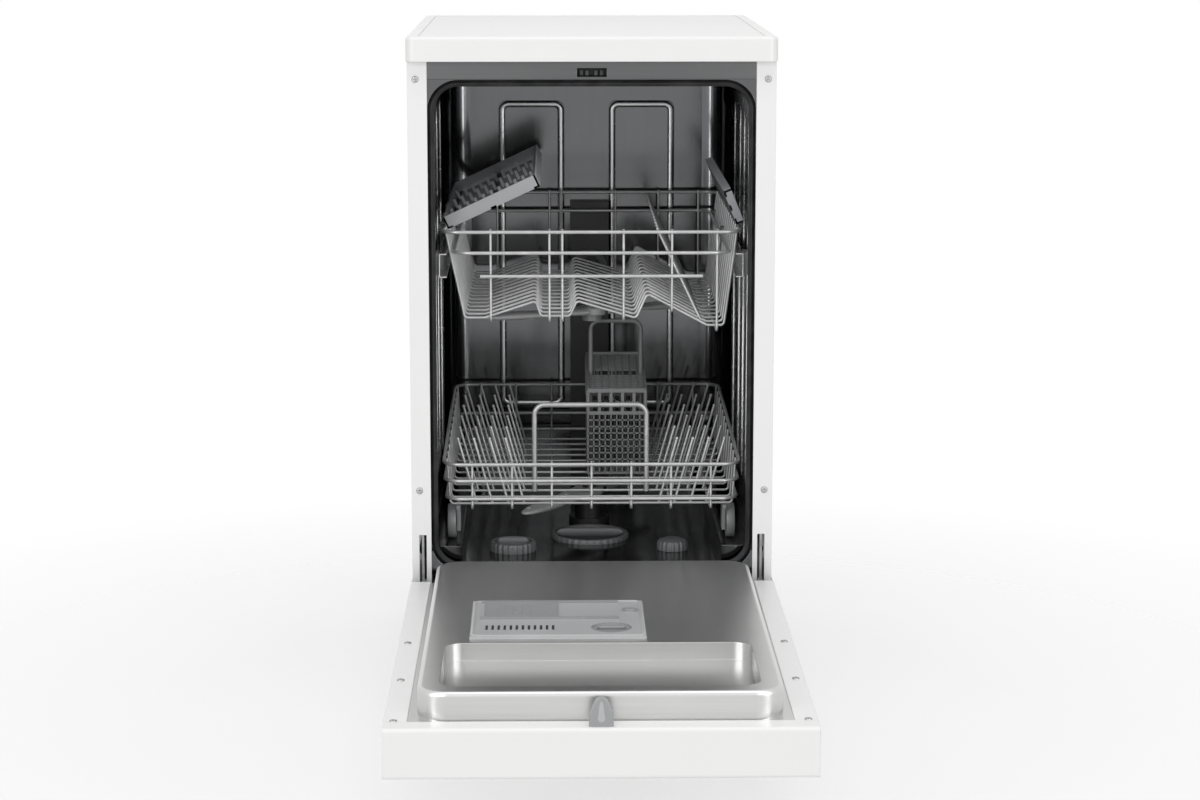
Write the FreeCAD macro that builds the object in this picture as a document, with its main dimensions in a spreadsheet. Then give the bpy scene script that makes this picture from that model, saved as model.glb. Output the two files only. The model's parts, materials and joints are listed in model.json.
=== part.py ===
import FreeCAD, Part
import math
import os

import Sketcher

doc = FreeCAD.newDocument("SlimlineDishwasher")
sheet = doc.addObject("Spreadsheet::Sheet", "Sizes")

# Driving dimensions in millimetres. Depths are counted from the front frame of the cabinet and
# heights from the floor.
DIMENSIONS = {
    # Cabinet
    "CabinetWidth": 448, "CabinetDepth": 562, "SideFoot": 40, "SheetGauge": 1.2, "FrameFlange": 24,
    "WorktopOver": 1, "WorktopFront": 17, "WorktopBack": 570, "WorktopTop": 850,
    "WorktopThick": 30, "WorktopBorder": 15, "WorktopInlay": 18, "WorktopCorner": 10,
    "WorktopEdge": 4, "SeamGap": 0.4, "CrossmemberHeight": 22, "CrossmemberDepth": 46,
    "TrayDepth": 30, "TrayWall": 2, "PlinthSetback": 14, "PlinthTop": 138, "PlinthBottom": 26,
    "BackBottom": 150, "BackSetback": 3, "FootRadius": 19, "FootPad": 9, "FootStem": 6,
    "FootInset": 40, "ScrewHead": 4.2, "ScrewTall": 2, "ScrewInset": 14, "FrameScrewHigh": 798,
    "FrameScrewLow": 289.5, "DoorScrewTall": 1.6, "DoorScrewFirst": 309, "DoorScrewPitch": 155,
    # Tub and seal
    "TubSide": 24, "TubTop": 797, "TubSill": 187, "TubBack": 536, "TubGauge": 1.2,
    "TubCorner": 38, "TubLip": 5, "LedgeFront": 30, "LedgeWide": 37, "LedgeHeight": 212,
    "TubFloor": 186, "SealFront": 3, "SealDeep": 14, "SealBand": 8.5, "SealSeat": 0.3,
    "EmbossDeep": 3, "EmbossWide": 91, "EmbossApart": 63, "EmbossTop": 733, "EmbossBottom": 300,
    # Door
    "HingeAhead": 19.5, "HingeHeight": 166.5, "DoorReach": 668, "DoorThick": 54, "FlangeAbove": 15.5,
    "DoorHeel": 12, "ReturnFlange": 24, "ReturnStart": 16, "PanRise": 30, "PanInset": 9.5,
    "PanStart": 30.5, "PanEnd": 618.5, "PanFlangeInset": 15.3, "PanCorner": 30, "PanEdge": 5,
    "RimWidth": 23, "RecessStart": 423, "RecessEnd": 595, "RecessDeep": 20, "RecessCorner": 20,
    "PanelReach": 122, "PanelGauge": 3, "PanelReturn": 27, "PanelRound": 4, "EndCap": 12,
    "HandleGap": 8, "HandleDeep": 34, "HandleRise": 22, "HandleWall": 2, "HandleFromEdge": 30,
    "HingePlate": 3, "HingeInset": 15, "HingeNose": 11, "PinRadius": 4, "RunningGap": 0.05,
    "HingeSlotTop": 233, "HingeSlotWide": 9, "BracketDepth": 60, "ArmLength": 110, "SpringRadius": 8,
    "SpringWire": 2.5, "SpringLong": 240,
    # Controls
    "ButtonRadius": 8, "ButtonTall": 14, "ButtonProud": 1, "ButtonGap": 0.2, "ButtonFromEdge": 40,
    "ButtonInset": 46, "ButtonPitch": 40, "WindowGap": 16, "BoardPost": 4, "WindowWide": 44,
    "WindowTall": 9, "BoardWide": 110, "BoardDeep": 52, "BoardThick": 12, "BoardStand": 19,
    # Dispenser
    "DispenserWide": 195, "DispenserLong": 160, "DispenserLeft": 141, "DispenserStart": 247.5,
    "DispenserProud": 3.5, "DispenserTray": 34, "DispenserLip": 8, "CupWide": 78, "CupLong": 62,
    "CupDeep": 26, "LidThick": 2.5, "CapRadius": 22, "CapTall": 5,
    # Latch
    "LatchHeight": 806, "StrikerHalf": 13, "StrikerThick": 8, "StrikerTall": 32, "LatchHalf": 18,
    "LatchTall": 10.5, "LatchWall": 1.6, "LatchDeep": 33,
    # Upper rack
    "RackSide": 14, "RackFront": 40, "RackBack": 515, "RackCorner": 22, "RailWire": 4.5,
    "FineWire": 3.2, "WireGap": 0.1, "UpperRim": 607, "UpperMidDrop": 26, "UpperLowDrop": 55,
    "UpperMidInset": 14.5, "UpperLowInset": 48, "WaveDrop": 110, "WavePitch": 33, "WaveCount": 14,
    "WaveFirst": 64, "WaveBend": 5, "CupFootShare": 0.742, "CupHeadShare": 0.452, "CupTineDrop": 3,
    "SlotPitch": 22, "RibShare": 0.6, "UnderWave": 1.25, "CheekHalf": 11, "GuideFirst": 60,
    "GuideSecond": 330, "GuideLong": 40, "ShelfWide": 126, "ShelfLong": 420, "ShelfTall": 16,
    "ShelfWall": 2.2, "ShelfTilt": 25, "ClipRadius": 5, "ClipGap": 0.25, "ClipWide": 14,
    "ClipReach": 8, "CombWide": 44, "CombTilt": 68, "CombTall": 10, "SlideDrop": 43, "SlideTall": 30,
    "SlideSide": 10.5, "SlideWide": 9.5, "SlideGauge": 1.5, "SlideFront": 50, "SlideBack": 510,
    "RollerWide": 6.6, "RollerFront": 278.5, "RollerRear": 476.5, "RollerBore": 3,
    # Spray system
    "ArmCentre": 290, "PipeOffset": 4, "PipeDrop": 106, "PipeRadius": 8, "PipeBore": 6,
    "ConduitWide": 54, "ConduitDeep": 16, "ConduitOver": 92, "PortRadius": 15, "UpperArmDrop": 33,
    "UpperArmGap": 35, "LowerArmRise": 38, "LowerArmGap": 28, "ArmThick": 10,
    "ArmRootWide": 44, "ArmTipWide": 26, "HubRadius": 19, "SpindleRadius": 9, "SpindleNut": 8,
    "JetPitch": 24, "JetCount": 5, "JetRadius": 2.2, "JetDeep": 3, "UpperArmTurn": 25,
    "LowerArmTurn": 60,
    # Lower rack
    "LowerRim": 314, "LowerRimBack": 334, "LowerMid": 293, "LowerLow": 270, "CrossInset": 8,
    "LowerFloor": 260, "CrossCount": 12, "CrossPitch": 39, "CrossFirst": 62, "LongCount": 7,
    "LongInset": 28, "TineTall": 82, "TineLean": 23, "TineInset": 33, "TinePitch": 20,
    "TineLane": 75, "TineGap": 8, "TineEvery": 2, "HandleWire": 6.5, "HandleHalf": 72,
    "HandleTop": 373, "WheelRadius": 21.7, "WheelWide": 11, "WheelSide": 29, "WheelFront": 80,
    "WheelRear": 495, "WheelGap": 0.3, "AxleRadius": 4, "CarrierThick": 5, "SaddleHalf": 25,
    # Cutlery basket
    "BasketWide": 78, "BasketLong": 146, "BasketShare": 0.669, "BasketWall": 2.4, "BasketMiddle": 36,
    "BasketPlace": 235, "BasketSlope": 26, "BasketSlots": 5, "BasketHandle": 6, "BasketClear": 12,
    # Water works under the tub
    "SumpRadius": 62, "SumpDrop": 66, "FilterPlace": 195, "FilterRadius": 45, "FilterTall": 52,
    "FilterRim": 6, "PumpPlace": 380, "PumpRadius": 42, "PumpLong": 120, "PumpHeight": 96,
    "DrainRadius": 24, "DrainLong": 70, "SaltInset": 63, "SaltRadius": 30, "GripShare": 0.7,
    "SaltTall": 12, "TankGap": 8, "FloatRadius": 20, "FloatTall": 14, "FloatStem": 5, "FloatInset": 58,
    "FloatPlace": 120, "SpigotInset": 74, "SpigotBox": 18, "InletRadius": 13.2, "InletLong": 16,
    "InletBore": 8, "DrainBore": 8, "GlandInset": 154, "GlandRadius": 9, "GlandLong": 14,
    "GlandBore": 4.2, "DrainSpigot": 10.5, "SpigotLong": 30, "SpigotHeight": 110,
}


class Size:
    """A length with its value in millimetres and the sheet expression that gives it."""

    def __init__(self, value, text):
        self.value = float(value)
        self.text = text

    def __add__(self, other):
        other = size_of(other)
        return Size(self.value + other.value, f"({self.text} + {other.text})")

    def __sub__(self, other):
        other = size_of(other)
        return Size(self.value - other.value, f"({self.text} - {other.text})")

    def __mul__(self, factor):
        factor = size_of(factor)
        return Size(self.value * factor.value, f"({self.text} * {factor.text})")

    def __truediv__(self, factor):
        factor = size_of(factor)
        return Size(self.value / factor.value, f"({self.text} / {factor.text})")

    def __neg__(self):
        return Size(-self.value, f"(-1 * {self.text})")

    def __radd__(self, other):
        return size_of(other) + self

    def __rsub__(self, other):
        return size_of(other) - self

    def __rmul__(self, factor):
        return size_of(factor) * self

    def __float__(self):
        return self.value


def size_of(number):
    """A Size as it is, or a plain number as a Size."""
    return number if isinstance(number, Size) else Size(number, f"({number})")


class Dimensions:
    """The sheet's cells by name."""


S = Dimensions()
for row, (name, number) in enumerate(DIMENSIONS.items(), start=1):
    sheet.set(f"A{row}", str(number))
    sheet.setAlias(f"A{row}", name)
    setattr(S, name, Size(number, f"Sizes.{name}"))
doc.recompute()

nodes = []


def keep(piece, label):
    """Name a finished piece and put it on the list of pieces."""
    piece.Label = label
    nodes.append(piece)
    return piece


def bind(thing, name, size):
    """Tie a property to the sheet."""
    thing.setExpression(name, size_of(size).text)


def put(thing, x, y, z):
    """Place a piece by its own corner or centre."""
    bind(thing, "Placement.Base.x", x)
    bind(thing, "Placement.Base.y", y)
    bind(thing, "Placement.Base.z", z)


# Sketched pieces. A profile lies on one origin plane of its body: XY grows up, XZ grows back and YZ
# grows right.
def new_sketch(body, plane, start):
    """A sketch on one of the body's own planes, moved along the growing direction."""
    sketch = body.newObject("Sketcher::SketchObject", body.Name + "Sketch")
    role = plane + "_Plane"
    support = [f for f in body.Origin.OriginFeatures if f.Role == role][0]
    sketch.AttachmentSupport = [(support, "")]
    sketch.MapMode = "FlatFace"
    bind(sketch, "AttachmentOffset.Base.z", -size_of(start) if plane == "XZ" else start)
    return sketch


def hold(sketch, kind, geometry, point, size):
    """Tie one coordinate of a sketch point to the sheet, on either side of the origin."""
    size = size_of(size)
    if size.value >= 0:
        rule = Sketcher.Constraint(kind, -1, 1, geometry, point, size.value)
        text = size.text
    else:
        rule = Sketcher.Constraint(kind, geometry, point, -1, 1, -size.value)
        text = (-size).text
    sketch.setExpression(f"Constraints[{sketch.addConstraint(rule)}]", text)


def polygon(sketch, points):
    """A closed outline whose corners are all tied to the sheet."""
    corners = [FreeCAD.Vector(float(size_of(x)), float(size_of(y)), 0) for x, y in points]
    count = len(corners)
    first = sketch.GeometryCount
    for i in range(count):
        sketch.addGeometry(Part.LineSegment(corners[i], corners[(i + 1) % count]))
    for i in range(count):
        sketch.addConstraint(Sketcher.Constraint("Coincident", first + i, 2, first + (i + 1) % count,
                                                 1))
    for i, (x, y) in enumerate(points):
        hold(sketch, "DistanceX", first + i, 1, x)
        hold(sketch, "DistanceY", first + i, 1, y)


def circle(sketch, x, y, radius):
    """A circle tied to the sheet."""
    centre = FreeCAD.Vector(float(size_of(x)), float(size_of(y)), 0)
    index = sketch.addGeometry(Part.Circle(centre, FreeCAD.Vector(0, 0, 1), float(radius)))
    rule = sketch.addConstraint(Sketcher.Constraint("Radius", index, float(radius)))
    bind(sketch, f"Constraints[{rule}]", radius)
    hold(sketch, "DistanceX", index, 3, x)
    hold(sketch, "DistanceY", index, 3, y)


def rectangle(x0, x1, y0, y1):
    """The corners of an upright rectangle."""
    return [(x0, y0), (x1, y0), (x1, y1), (x0, y1)]


def padded(label, plane, points, length, place, start=0):
    """A body grown from one outline."""
    body = doc.addObject("PartDesign::Body", label)
    sketch = new_sketch(body, plane, start)
    polygon(sketch, points)
    grow(body, sketch, plane, length)
    put(body, *place)
    return body


def grow(body, sketch, plane, length):
    """Pad a sketch in the growing direction of its plane."""
    pad = body.newObject("PartDesign::Pad", body.Name + "Pad")
    pad.Profile = sketch
    bind(pad, "Length", length)
    pad.Reversed = plane == "XZ"


def pocket(body, plane, start, depth, outlines=(), circles=()):
    """Cut outlines and circles into a body, from start onwards in the growing direction."""
    doc.recompute()
    before = body.Shape.Volume
    sketch = new_sketch(body, plane, start)
    for points in outlines:
        polygon(sketch, points)
    for x, y, radius in circles:
        circle(sketch, x, y, radius)
    cut = body.newObject("PartDesign::Pocket", body.Name + "Pocket")
    cut.Profile = sketch
    bind(cut, "Length", depth)
    cut.Reversed = plane != "XZ"
    doc.recompute()
    if not body.Shape.Volume < before:
        raise RuntimeError(f"{body.Label}: a pocket cuts nothing")


def along(axis):
    """A chooser of straight edges along one axis."""
    def chosen(edge):
        if len(edge.Vertexes) != 2 or not isinstance(edge.Curve, Part.Line):
            return False
        return abs(abs(getattr(edge.Curve.Direction, axis)) - 1) < 1e-6
    return chosen


def rounded(body, radius, chooser):
    """Round the edges of a body that the chooser picks."""
    doc.recompute()
    base = body.Tip
    names = [f"Edge{i}" for i, edge in enumerate(base.Shape.Edges, start=1) if chooser(edge)]
    fillet = body.newObject("PartDesign::Fillet", body.Name + "Fillet")
    fillet.Base = (base, names)
    bind(fillet, "Radius", radius)
    return body


# Primitives and booleans.
def block(name, x, y, z):
    """A box between two places on each axis."""
    box = doc.addObject("Part::Box", name)
    bind(box, "Length", x[1] - size_of(x[0]))
    bind(box, "Width", y[1] - size_of(y[0]))
    bind(box, "Height", z[1] - size_of(z[0]))
    put(box, x[0], y[0], z[0])
    return box


TURNS = {"X": FreeCAD.Rotation(FreeCAD.Vector(0, 1, 0), 90),
         "Y": FreeCAD.Rotation(FreeCAD.Vector(1, 0, 0), -90), "Z": FreeCAD.Rotation()}


def rod(name, axis, centre, radius, span):
    """A cylinder along an axis, with its two other coordinates and its span along the axis."""
    cylinder = doc.addObject("Part::Cylinder", name)
    cylinder.Placement = FreeCAD.Placement(FreeCAD.Vector(), TURNS[axis])
    bind(cylinder, "Radius", radius)
    bind(cylinder, "Height", span[1] - size_of(span[0]))
    place = list(centre)
    place.insert("XYZ".index(axis), span[0])
    put(cylinder, *place)
    return cylinder


def joined(name, *pieces):
    """One solid from pieces that meet."""
    fuse = doc.addObject("Part::MultiFuse", name)
    fuse.Shapes = list(pieces)
    return fuse


def without(name, base, *tools):
    """A piece with others cut away."""
    cut = doc.addObject("Part::Cut", name)
    cut.Base = base
    cut.Tool = tools[0] if len(tools) == 1 else joined(name + "Tools", *tools)
    return cut


def grouped(name, *pieces):
    """Separate solids that share one node."""
    compound = doc.addObject("Part::Compound", name)
    compound.Links = list(pieces)
    return compound


def shaped(label, shape):
    """A piece whose shape is worked out from the sheet's values."""
    feature = doc.addObject("Part::Feature", label)
    feature.Shape = shape
    feature.Placement = FreeCAD.Placement()
    return keep(feature, label)


def vector(x, y, z):
    return FreeCAD.Vector(float(size_of(x)), float(size_of(y)), float(size_of(z)))


def bent_wire(points, diameter, bend):
    """A round wire along straight runs, with every corner bent to one radius."""
    points = [vector(*p) for p in points]
    bend = float(bend)
    edges = []
    start = points[0]
    for before, corner, after in zip(points, points[1:], points[2:]):
        a = (before - corner).normalize()
        b = (after - corner).normalize()
        half = a.getAngle(b) / 2
        reach = bend / math.tan(half)
        middle = (a + b).normalize() * (bend / math.sin(half) - bend)
        edges.append(Part.LineSegment(start, corner + a * reach).toShape())
        edges.append(Part.Arc(corner + a * reach, corner + middle, corner + b * reach).toShape())
        start = corner + b * reach
    edges.append(Part.LineSegment(start, points[-1]).toShape())
    first = (points[1] - points[0]).normalize()
    section = Part.Wire([Part.Circle(points[0], first, float(diameter) / 2).toShape()])
    return Part.Wire(edges).makePipeShell([section], True, False)


def straight_wire(start, end, diameter):
    """A straight round wire between two points."""
    start = vector(*start)
    run = vector(*end) - start
    return Part.makeCylinder(float(diameter) / 2, run.Length, start, run)


def rounded_box(x, y, z, radius, axis):
    """A box whose edges along one axis are rounded."""
    low = vector(x[0], y[0], z[0])
    size = vector(x[1], y[1], z[1]) - low
    box = Part.makeBox(size.x, size.y, size.z, low)
    edges = [edge for edge in box.Edges if along(axis)(edge)]
    return box.makeFillet(float(radius), edges)


# Shared places, all worked out from the driving dimensions.
front = (S.DoorReach - S.WorktopBack) / 2
half_cabinet = S.CabinetWidth / 2
worktop_bottom = S.WorktopTop - S.WorktopThick
hinge_y = front - S.HingeAhead
door_inner = S.HingeHeight + S.FlangeAbove
door_outer = door_inner - S.DoorThick
door_edge = front - S.DoorReach
pan_flange_top = door_inner - S.SheetGauge
pan_top = door_inner + S.PanRise
tub_half = half_cabinet - S.TubSide
ledge_half = tub_half - S.LedgeWide
pan_half = tub_half - S.PanInset
pan_flange_half = half_cabinet - S.PanFlangeInset
hinge_x = half_cabinet - S.HingeInset
button_spread = half_cabinet - S.ButtonInset
rack_half = tub_half - S.RackSide
mid_half = rack_half - S.UpperMidInset
low_half = rack_half - S.UpperLowInset
cross_foot = rack_half - S.CrossInset
slide_half = tub_half - S.SlideSide
wheel_near = tub_half - S.WheelSide
salt_aside = ledge_half - S.SaltInset
float_aside = ledge_half - S.FloatInset
spigot_aside = half_cabinet - S.SpigotInset
gland_aside = half_cabinet - S.GlandInset
upper_mid = S.UpperRim - S.UpperMidDrop
upper_low = S.UpperRim - S.UpperLowDrop
wave_floor = S.UpperRim - S.WaveDrop
slide_mid = S.UpperRim - S.SlideDrop
pipe_z = S.UpperRim - S.PipeDrop
upper_arm_z = pipe_z - S.UpperArmDrop
lower_arm_z = S.TubFloor + S.LowerArmRise
SIDES = {"left": -1, "right": 1}


def back(depth):
    """A place counted back from the front frame."""
    return front + depth


def down_door(length):
    """A place on the open door, counted from the hinge axis towards its top edge."""
    return hinge_y - length


def span(side, near, far):
    """A stretch of X on one side of the middle, low end first."""
    return (near, far) if side > 0 else (-far, -near)


def both(half):
    """A stretch of X that is even about the middle."""
    return (-half, half)


def at_height(z):
    """A chooser of edges that lie at one height."""
    return lambda edge: all(abs(v.Z - float(z)) < 1e-6 for v in edge.Vertexes)


# Worktop: a moulded surround with a flush inlaid panel.
worktop_y = (back(-S.WorktopFront), back(S.WorktopBack))
half_top = half_cabinet + S.WorktopOver
surround = padded("worktop_surround", "XY", rectangle(-half_top, half_top, *worktop_y), S.WorktopThick,
                  (0, 0, 0),
                  worktop_bottom)
rounded(surround, S.WorktopCorner, along("z"))
rounded(surround, S.WorktopEdge, at_height(S.WorktopTop))
inlay_half = half_top - S.WorktopBorder
inlay_y = (worktop_y[0] + S.WorktopBorder, worktop_y[1] - S.WorktopBorder)
pocket(surround, "XY", S.WorktopTop - S.WorktopInlay, S.WorktopInlay,
       [rectangle(-inlay_half, inlay_half, *inlay_y)])
keep(surround, "worktop_surround")
panel_half = inlay_half - S.SeamGap
keep(padded("worktop_panel", "XY", rectangle(-panel_half, panel_half, inlay_y[0] + S.SeamGap,
                                             inlay_y[1] - S.SeamGap),
            S.WorktopInlay - S.SeamGap, (0, 0, 0), S.WorktopTop - S.WorktopInlay), "worktop_panel")

# Side panels: folded sheets whose front flanges frame the tub, each with a slot for the hinge.
slot_bottom = S.HingeHeight - S.HingeNose - S.TrayWall
slot_middle = hinge_x + S.HingePlate / 2
inner_side = half_cabinet - S.SheetGauge
flange_edge = half_cabinet - S.FrameFlange
for name, side in SIDES.items():
    outline = [(side * flange_edge, back(0)), (side * half_cabinet, back(0)),
               (side * half_cabinet, back(S.CabinetDepth)), (side * inner_side, back(S.CabinetDepth)),
               (side * inner_side, back(S.SheetGauge)), (side * flange_edge, back(S.SheetGauge))]
    sheet_side = padded(f"side_panel_{name}", "XY", outline, worktop_bottom - S.SideFoot, (0, 0, 0),
                        S.SideFoot)
    slot_edges = (side * (slot_middle - S.HingeSlotWide / 2),
                  side * (slot_middle + S.HingeSlotWide / 2))
    pocket(sheet_side, "XZ", back(-S.SheetGauge), 3 * S.SheetGauge,
           [rectangle(*slot_edges, slot_bottom, S.HingeSlotTop)])
    keep(sheet_side, f"side_panel_{name}")

# Back panel, base tray, plinth and feet.
back_face = back(S.CabinetDepth - S.BackSetback)
keep(padded("back_panel", "XZ", rectangle(-inner_side, inner_side, S.BackBottom, worktop_bottom),
            S.SheetGauge,
            (0, 0, 0), back_face - S.SheetGauge), "back_panel")
tray_front = back(S.PlinthSetback + S.SheetGauge)
tray = padded("base_tray", "XY", rectangle(-inner_side, inner_side, tray_front, back_face), S.TrayDepth,
              (0, 0, 0),
              S.SideFoot)
tray_floor = S.SideFoot + S.TrayWall
pocket(tray, "XY", tray_floor, S.TrayDepth,
       [rectangle(-(inner_side - S.TrayWall), inner_side - S.TrayWall, tray_front + S.TrayWall,
                  back_face - S.TrayWall)])
keep(tray, "base_tray")
plinth_half = inner_side - S.SeamGap
keep(padded("plinth", "XZ", rectangle(-plinth_half, plinth_half, S.PlinthBottom, S.PlinthTop),
            S.SheetGauge, (0, 0, 0),
            back(S.PlinthSetback)), "plinth")
feet = []
for side in SIDES.values():
    for y in (tray_front + S.FootInset, back_face - S.FootInset):
        place = (side * (half_cabinet - S.FootInset), y)
        pad_disc = rod("FootPad", "Z", place, S.FootRadius, (0, S.FootPad))
        stem = rod("FootStem", "Z", place, S.FootStem, (S.FootPad, S.SideFoot))
        feet.append(joined("Foot", pad_disc, stem))
keep(grouped("levelling_feet", *feet), "levelling_feet")

# Crossmember over the tub mouth, with the latch slot and the latch housing behind it.
latch_z = (S.LatchHeight - S.LatchTall / 2, S.LatchHeight + S.LatchTall / 2)
strip_bottom = worktop_bottom - S.CrossmemberHeight
outline = [(back(0), strip_bottom), (back(S.SheetGauge), strip_bottom),
           (back(S.SheetGauge), worktop_bottom - S.SheetGauge),
           (back(S.CrossmemberDepth), worktop_bottom - S.SheetGauge),
           (back(S.CrossmemberDepth), worktop_bottom), (back(0), worktop_bottom)]
crossmember = padded("front_crossmember", "YZ", outline, 2 * flange_edge, (0, 0, 0), -flange_edge)
pocket(crossmember, "XZ", back(-S.SheetGauge), 3 * S.SheetGauge,
       [rectangle(-S.LatchHalf, S.LatchHalf, *latch_z)])
keep(crossmember, "front_crossmember")
housing_front = back(S.SheetGauge)
housing = block("HousingBody", both(S.LatchHalf + S.LatchWall),
                (housing_front, housing_front + S.LatchDeep + S.LatchWall),
                (latch_z[0] - S.LatchWall, latch_z[1] + S.LatchWall))
mouth = block("HousingMouth", both(S.LatchHalf), (housing_front - S.LatchWall,
                                                  housing_front + S.LatchDeep), latch_z)
keep(without("latch_housing", housing, mouth), "latch_housing")


# Tub: a thin pressed shell with ledges for the lower wheels, a rounded mouth and an embossed back.
def tub_form(grown, start):
    """The tub's inside, grown outwards by one thickness, from a given front."""
    half = tub_half + grown
    top = S.TubTop + grown
    rear = back(S.TubBack) + grown
    main = Part.makeBox(2 * float(half), float(rear - start), float(top - S.LedgeHeight + grown),
                        vector(-half, start, S.LedgeHeight - grown))
    corner = S.TubCorner + grown

    def tall_corner(edge):
        upright = along("z")(edge) and edge.Vertexes[0].Y > float(rear) - 1e-3
        crown = along("y")(edge) and edge.Vertexes[0].Z > float(top) - 1e-3
        return upright or crown
    main = main.makeFillet(float(corner), [edge for edge in main.Edges if tall_corner(edge)])
    throat = rounded_box(both(half), (start, back(S.LedgeFront) + grown), (S.TubSill - grown, top),
                         corner, "y")
    well_half = ledge_half + grown
    well = rounded_box(both(well_half), (back(S.SealFront), rear),
                       (S.TubFloor - grown, S.LedgeHeight + grown), S.TubCorner / 2, "z")
    return main.fuse([throat, well])


mouth_plane = back(S.SheetGauge)
tub = tub_form(S.TubGauge, mouth_plane)
lip_half = tub_half + S.TubLip
lip_z = (S.TubSill - S.TubLip, S.TubTop + S.TubGauge)
lip = Part.makeBox(2 * float(lip_half), float(S.TubGauge), float(lip_z[1] - lip_z[0]),
                   vector(-lip_half, mouth_plane, lip_z[0]))
tub = tub.fuse(lip).cut(tub_form(size_of(0), mouth_plane - S.TubLip))
emboss_near = S.EmbossApart / 2
for side in SIDES.values():
    emboss = rounded_box(span(side, emboss_near, emboss_near + S.EmbossWide),
                         (back(S.TubBack - S.EmbossDeep), back(S.TubBack)),
                         (S.EmbossBottom, S.EmbossTop), S.WorktopCorner, "y")
    tub = tub.fuse(emboss)
filter_y = back(S.FilterPlace)
filter_hole = S.FilterRadius + S.WheelGap
tub_under = S.TubFloor - S.TubGauge
tub = tub.cut(Part.makeCylinder(float(filter_hole), float(3 * S.TubGauge),
                                vector(0, filter_y, tub_under - S.TubGauge)))
float_place = (float_aside, back(S.FloatPlace))
tub = tub.cut(Part.makeCylinder(float(S.FloatStem + S.WheelGap), float(3 * S.TubGauge),
                                vector(*float_place, tub_under - S.TubGauge)))
shaped("tub_shell", tub.removeSplitter())

# Door seal round the tub mouth.
seal_half = tub_half - S.SealSeat
seal_y = (back(S.SealFront), back(S.SealFront + S.SealDeep))
seal = rounded_box(both(seal_half), seal_y, (S.TubSill + S.SealSeat, S.TubTop - S.SealSeat),
                   S.TubCorner - S.SealSeat, "y")
seal_gap = rounded_box(both(tub_half - S.SealBand), seal_y,
                       (S.TubSill + S.SealBand, S.TubTop - S.SealBand), S.TubCorner - S.SealBand, "y")
shaped("door_seal", seal.cut(seal_gap))

# Hinges: a fixed bracket with the pin on each side, an arm on the door and a counterbalance spring.
arm_under = pan_flange_top - S.SheetGauge
arm_near = hinge_x - S.HingePlate - S.SeamGap
springs = []
brackets = []
arms = []
for side in SIDES.values():
    plate_x = span(side, hinge_x, hinge_x + S.HingePlate)
    nose = rod("HingeNose", "X", (hinge_y, S.HingeHeight), S.HingeNose, plate_x)
    bar = block("HingeBar", plate_x, (hinge_y, back(S.BracketDepth)),
                (S.HingeHeight - S.HingeNose, S.HingeHeight + S.HingeNose))
    plate = block("HingePlate", plate_x, (mouth_plane, back(S.BracketDepth)),
                  (S.HingeHeight - S.HingeNose, S.HingeSlotTop + S.HingeNose))
    pin = rod("HingePin", "X", (hinge_y, S.HingeHeight), S.PinRadius,
              span(side, arm_near, hinge_x + S.HingePlate))
    brackets.append(joined("HingeBracket", nose, bar, plate, pin))
    arm_x = span(side, arm_near, arm_near + S.HingePlate)
    arm = block("HingeArm", arm_x, (down_door(S.ArmLength), hinge_y + S.PinRadius * 2),
                (S.HingeHeight - S.HingeNose, arm_under))
    bore = rod("ArmBore", "X", (hinge_y, S.HingeHeight), S.PinRadius + S.RunningGap, arm_x)
    arms.append(without("DoorArm", arm, bore))
    spring_x = side * (hinge_x + S.HingePlate / 2)
    spring_z = (S.HingeHeight + S.HingeSlotTop) / 2
    spring_y = (back(S.BracketDepth), back(S.BracketDepth + S.SpringLong))
    coil = without("SpringCoil",
                   rod("SpringOuter", "Y", (spring_x, spring_z), S.SpringRadius, spring_y),
                   rod("SpringInner", "Y", (spring_x, spring_z), S.SpringRadius - S.SpringWire,
                       spring_y))
    anchor = block("SpringAnchor", span(side, hinge_x, inner_side),
                   (spring_y[1], spring_y[1] + S.HingePlate),
                   (spring_z - S.SpringRadius, spring_z + S.SpringRadius))
    springs += [coil, anchor]
keep(grouped("hinge_brackets", *brackets), "hinge_brackets")
keep(grouped("hinge_arms", *arms), "hinge_arms")
keep(grouped("counterbalance_springs", *springs), "counterbalance_springs")

# Door outer skin: a folded channel with return flanges, cut back where the control panel takes over.
return_edge = half_cabinet - S.ReturnFlange
right_side = [(half_cabinet, door_outer), (half_cabinet, door_inner), (return_edge, door_inner),
              (return_edge, pan_flange_top), (inner_side, pan_flange_top),
              (inner_side, door_outer + S.SheetGauge)]
left_side = [(-x, z) for x, z in reversed(right_side)]
skin_start = door_edge + S.PanelReturn
skin_end = hinge_y + S.DoorHeel
skin = padded("door_outer_skin", "XZ", right_side + left_side, skin_end - skin_start, (0, 0, 0),
              skin_start)
panel_edge = door_edge + S.PanelReach
skin_reach = half_cabinet + S.SheetGauge
pocket(skin, "XY", door_outer - S.SheetGauge, S.SheetGauge + S.PanelGauge + S.SeamGap,
       [rectangle(-skin_reach, skin_reach, skin_start - S.SheetGauge, panel_edge)])
pocket(skin, "XY", pan_flange_top, 2 * S.SheetGauge,
       [rectangle(-skin_reach, skin_reach, down_door(S.ReturnStart), skin_end + S.SheetGauge)])
keep(skin, "door_outer_skin")


# Door inner pan: a pressed sheet with a raised block, a sunk field near its top edge and an opening for
# the dispenser.
def pan_block(inset):
    """The raised block of the pan, with rounded corners and top edge, made smaller by an inset."""
    half = pan_half - inset
    top = pan_top - inset
    raised = rounded_box(both(half), (down_door(S.PanEnd) + inset, down_door(S.PanStart) - inset),
                         (arm_under - inset, top), S.PanCorner - inset, "z")
    crown = [edge for edge in raised.Edges if at_height(top)(edge)]
    return raised.makeFillet(float(S.PanEdge - inset), crown)


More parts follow.
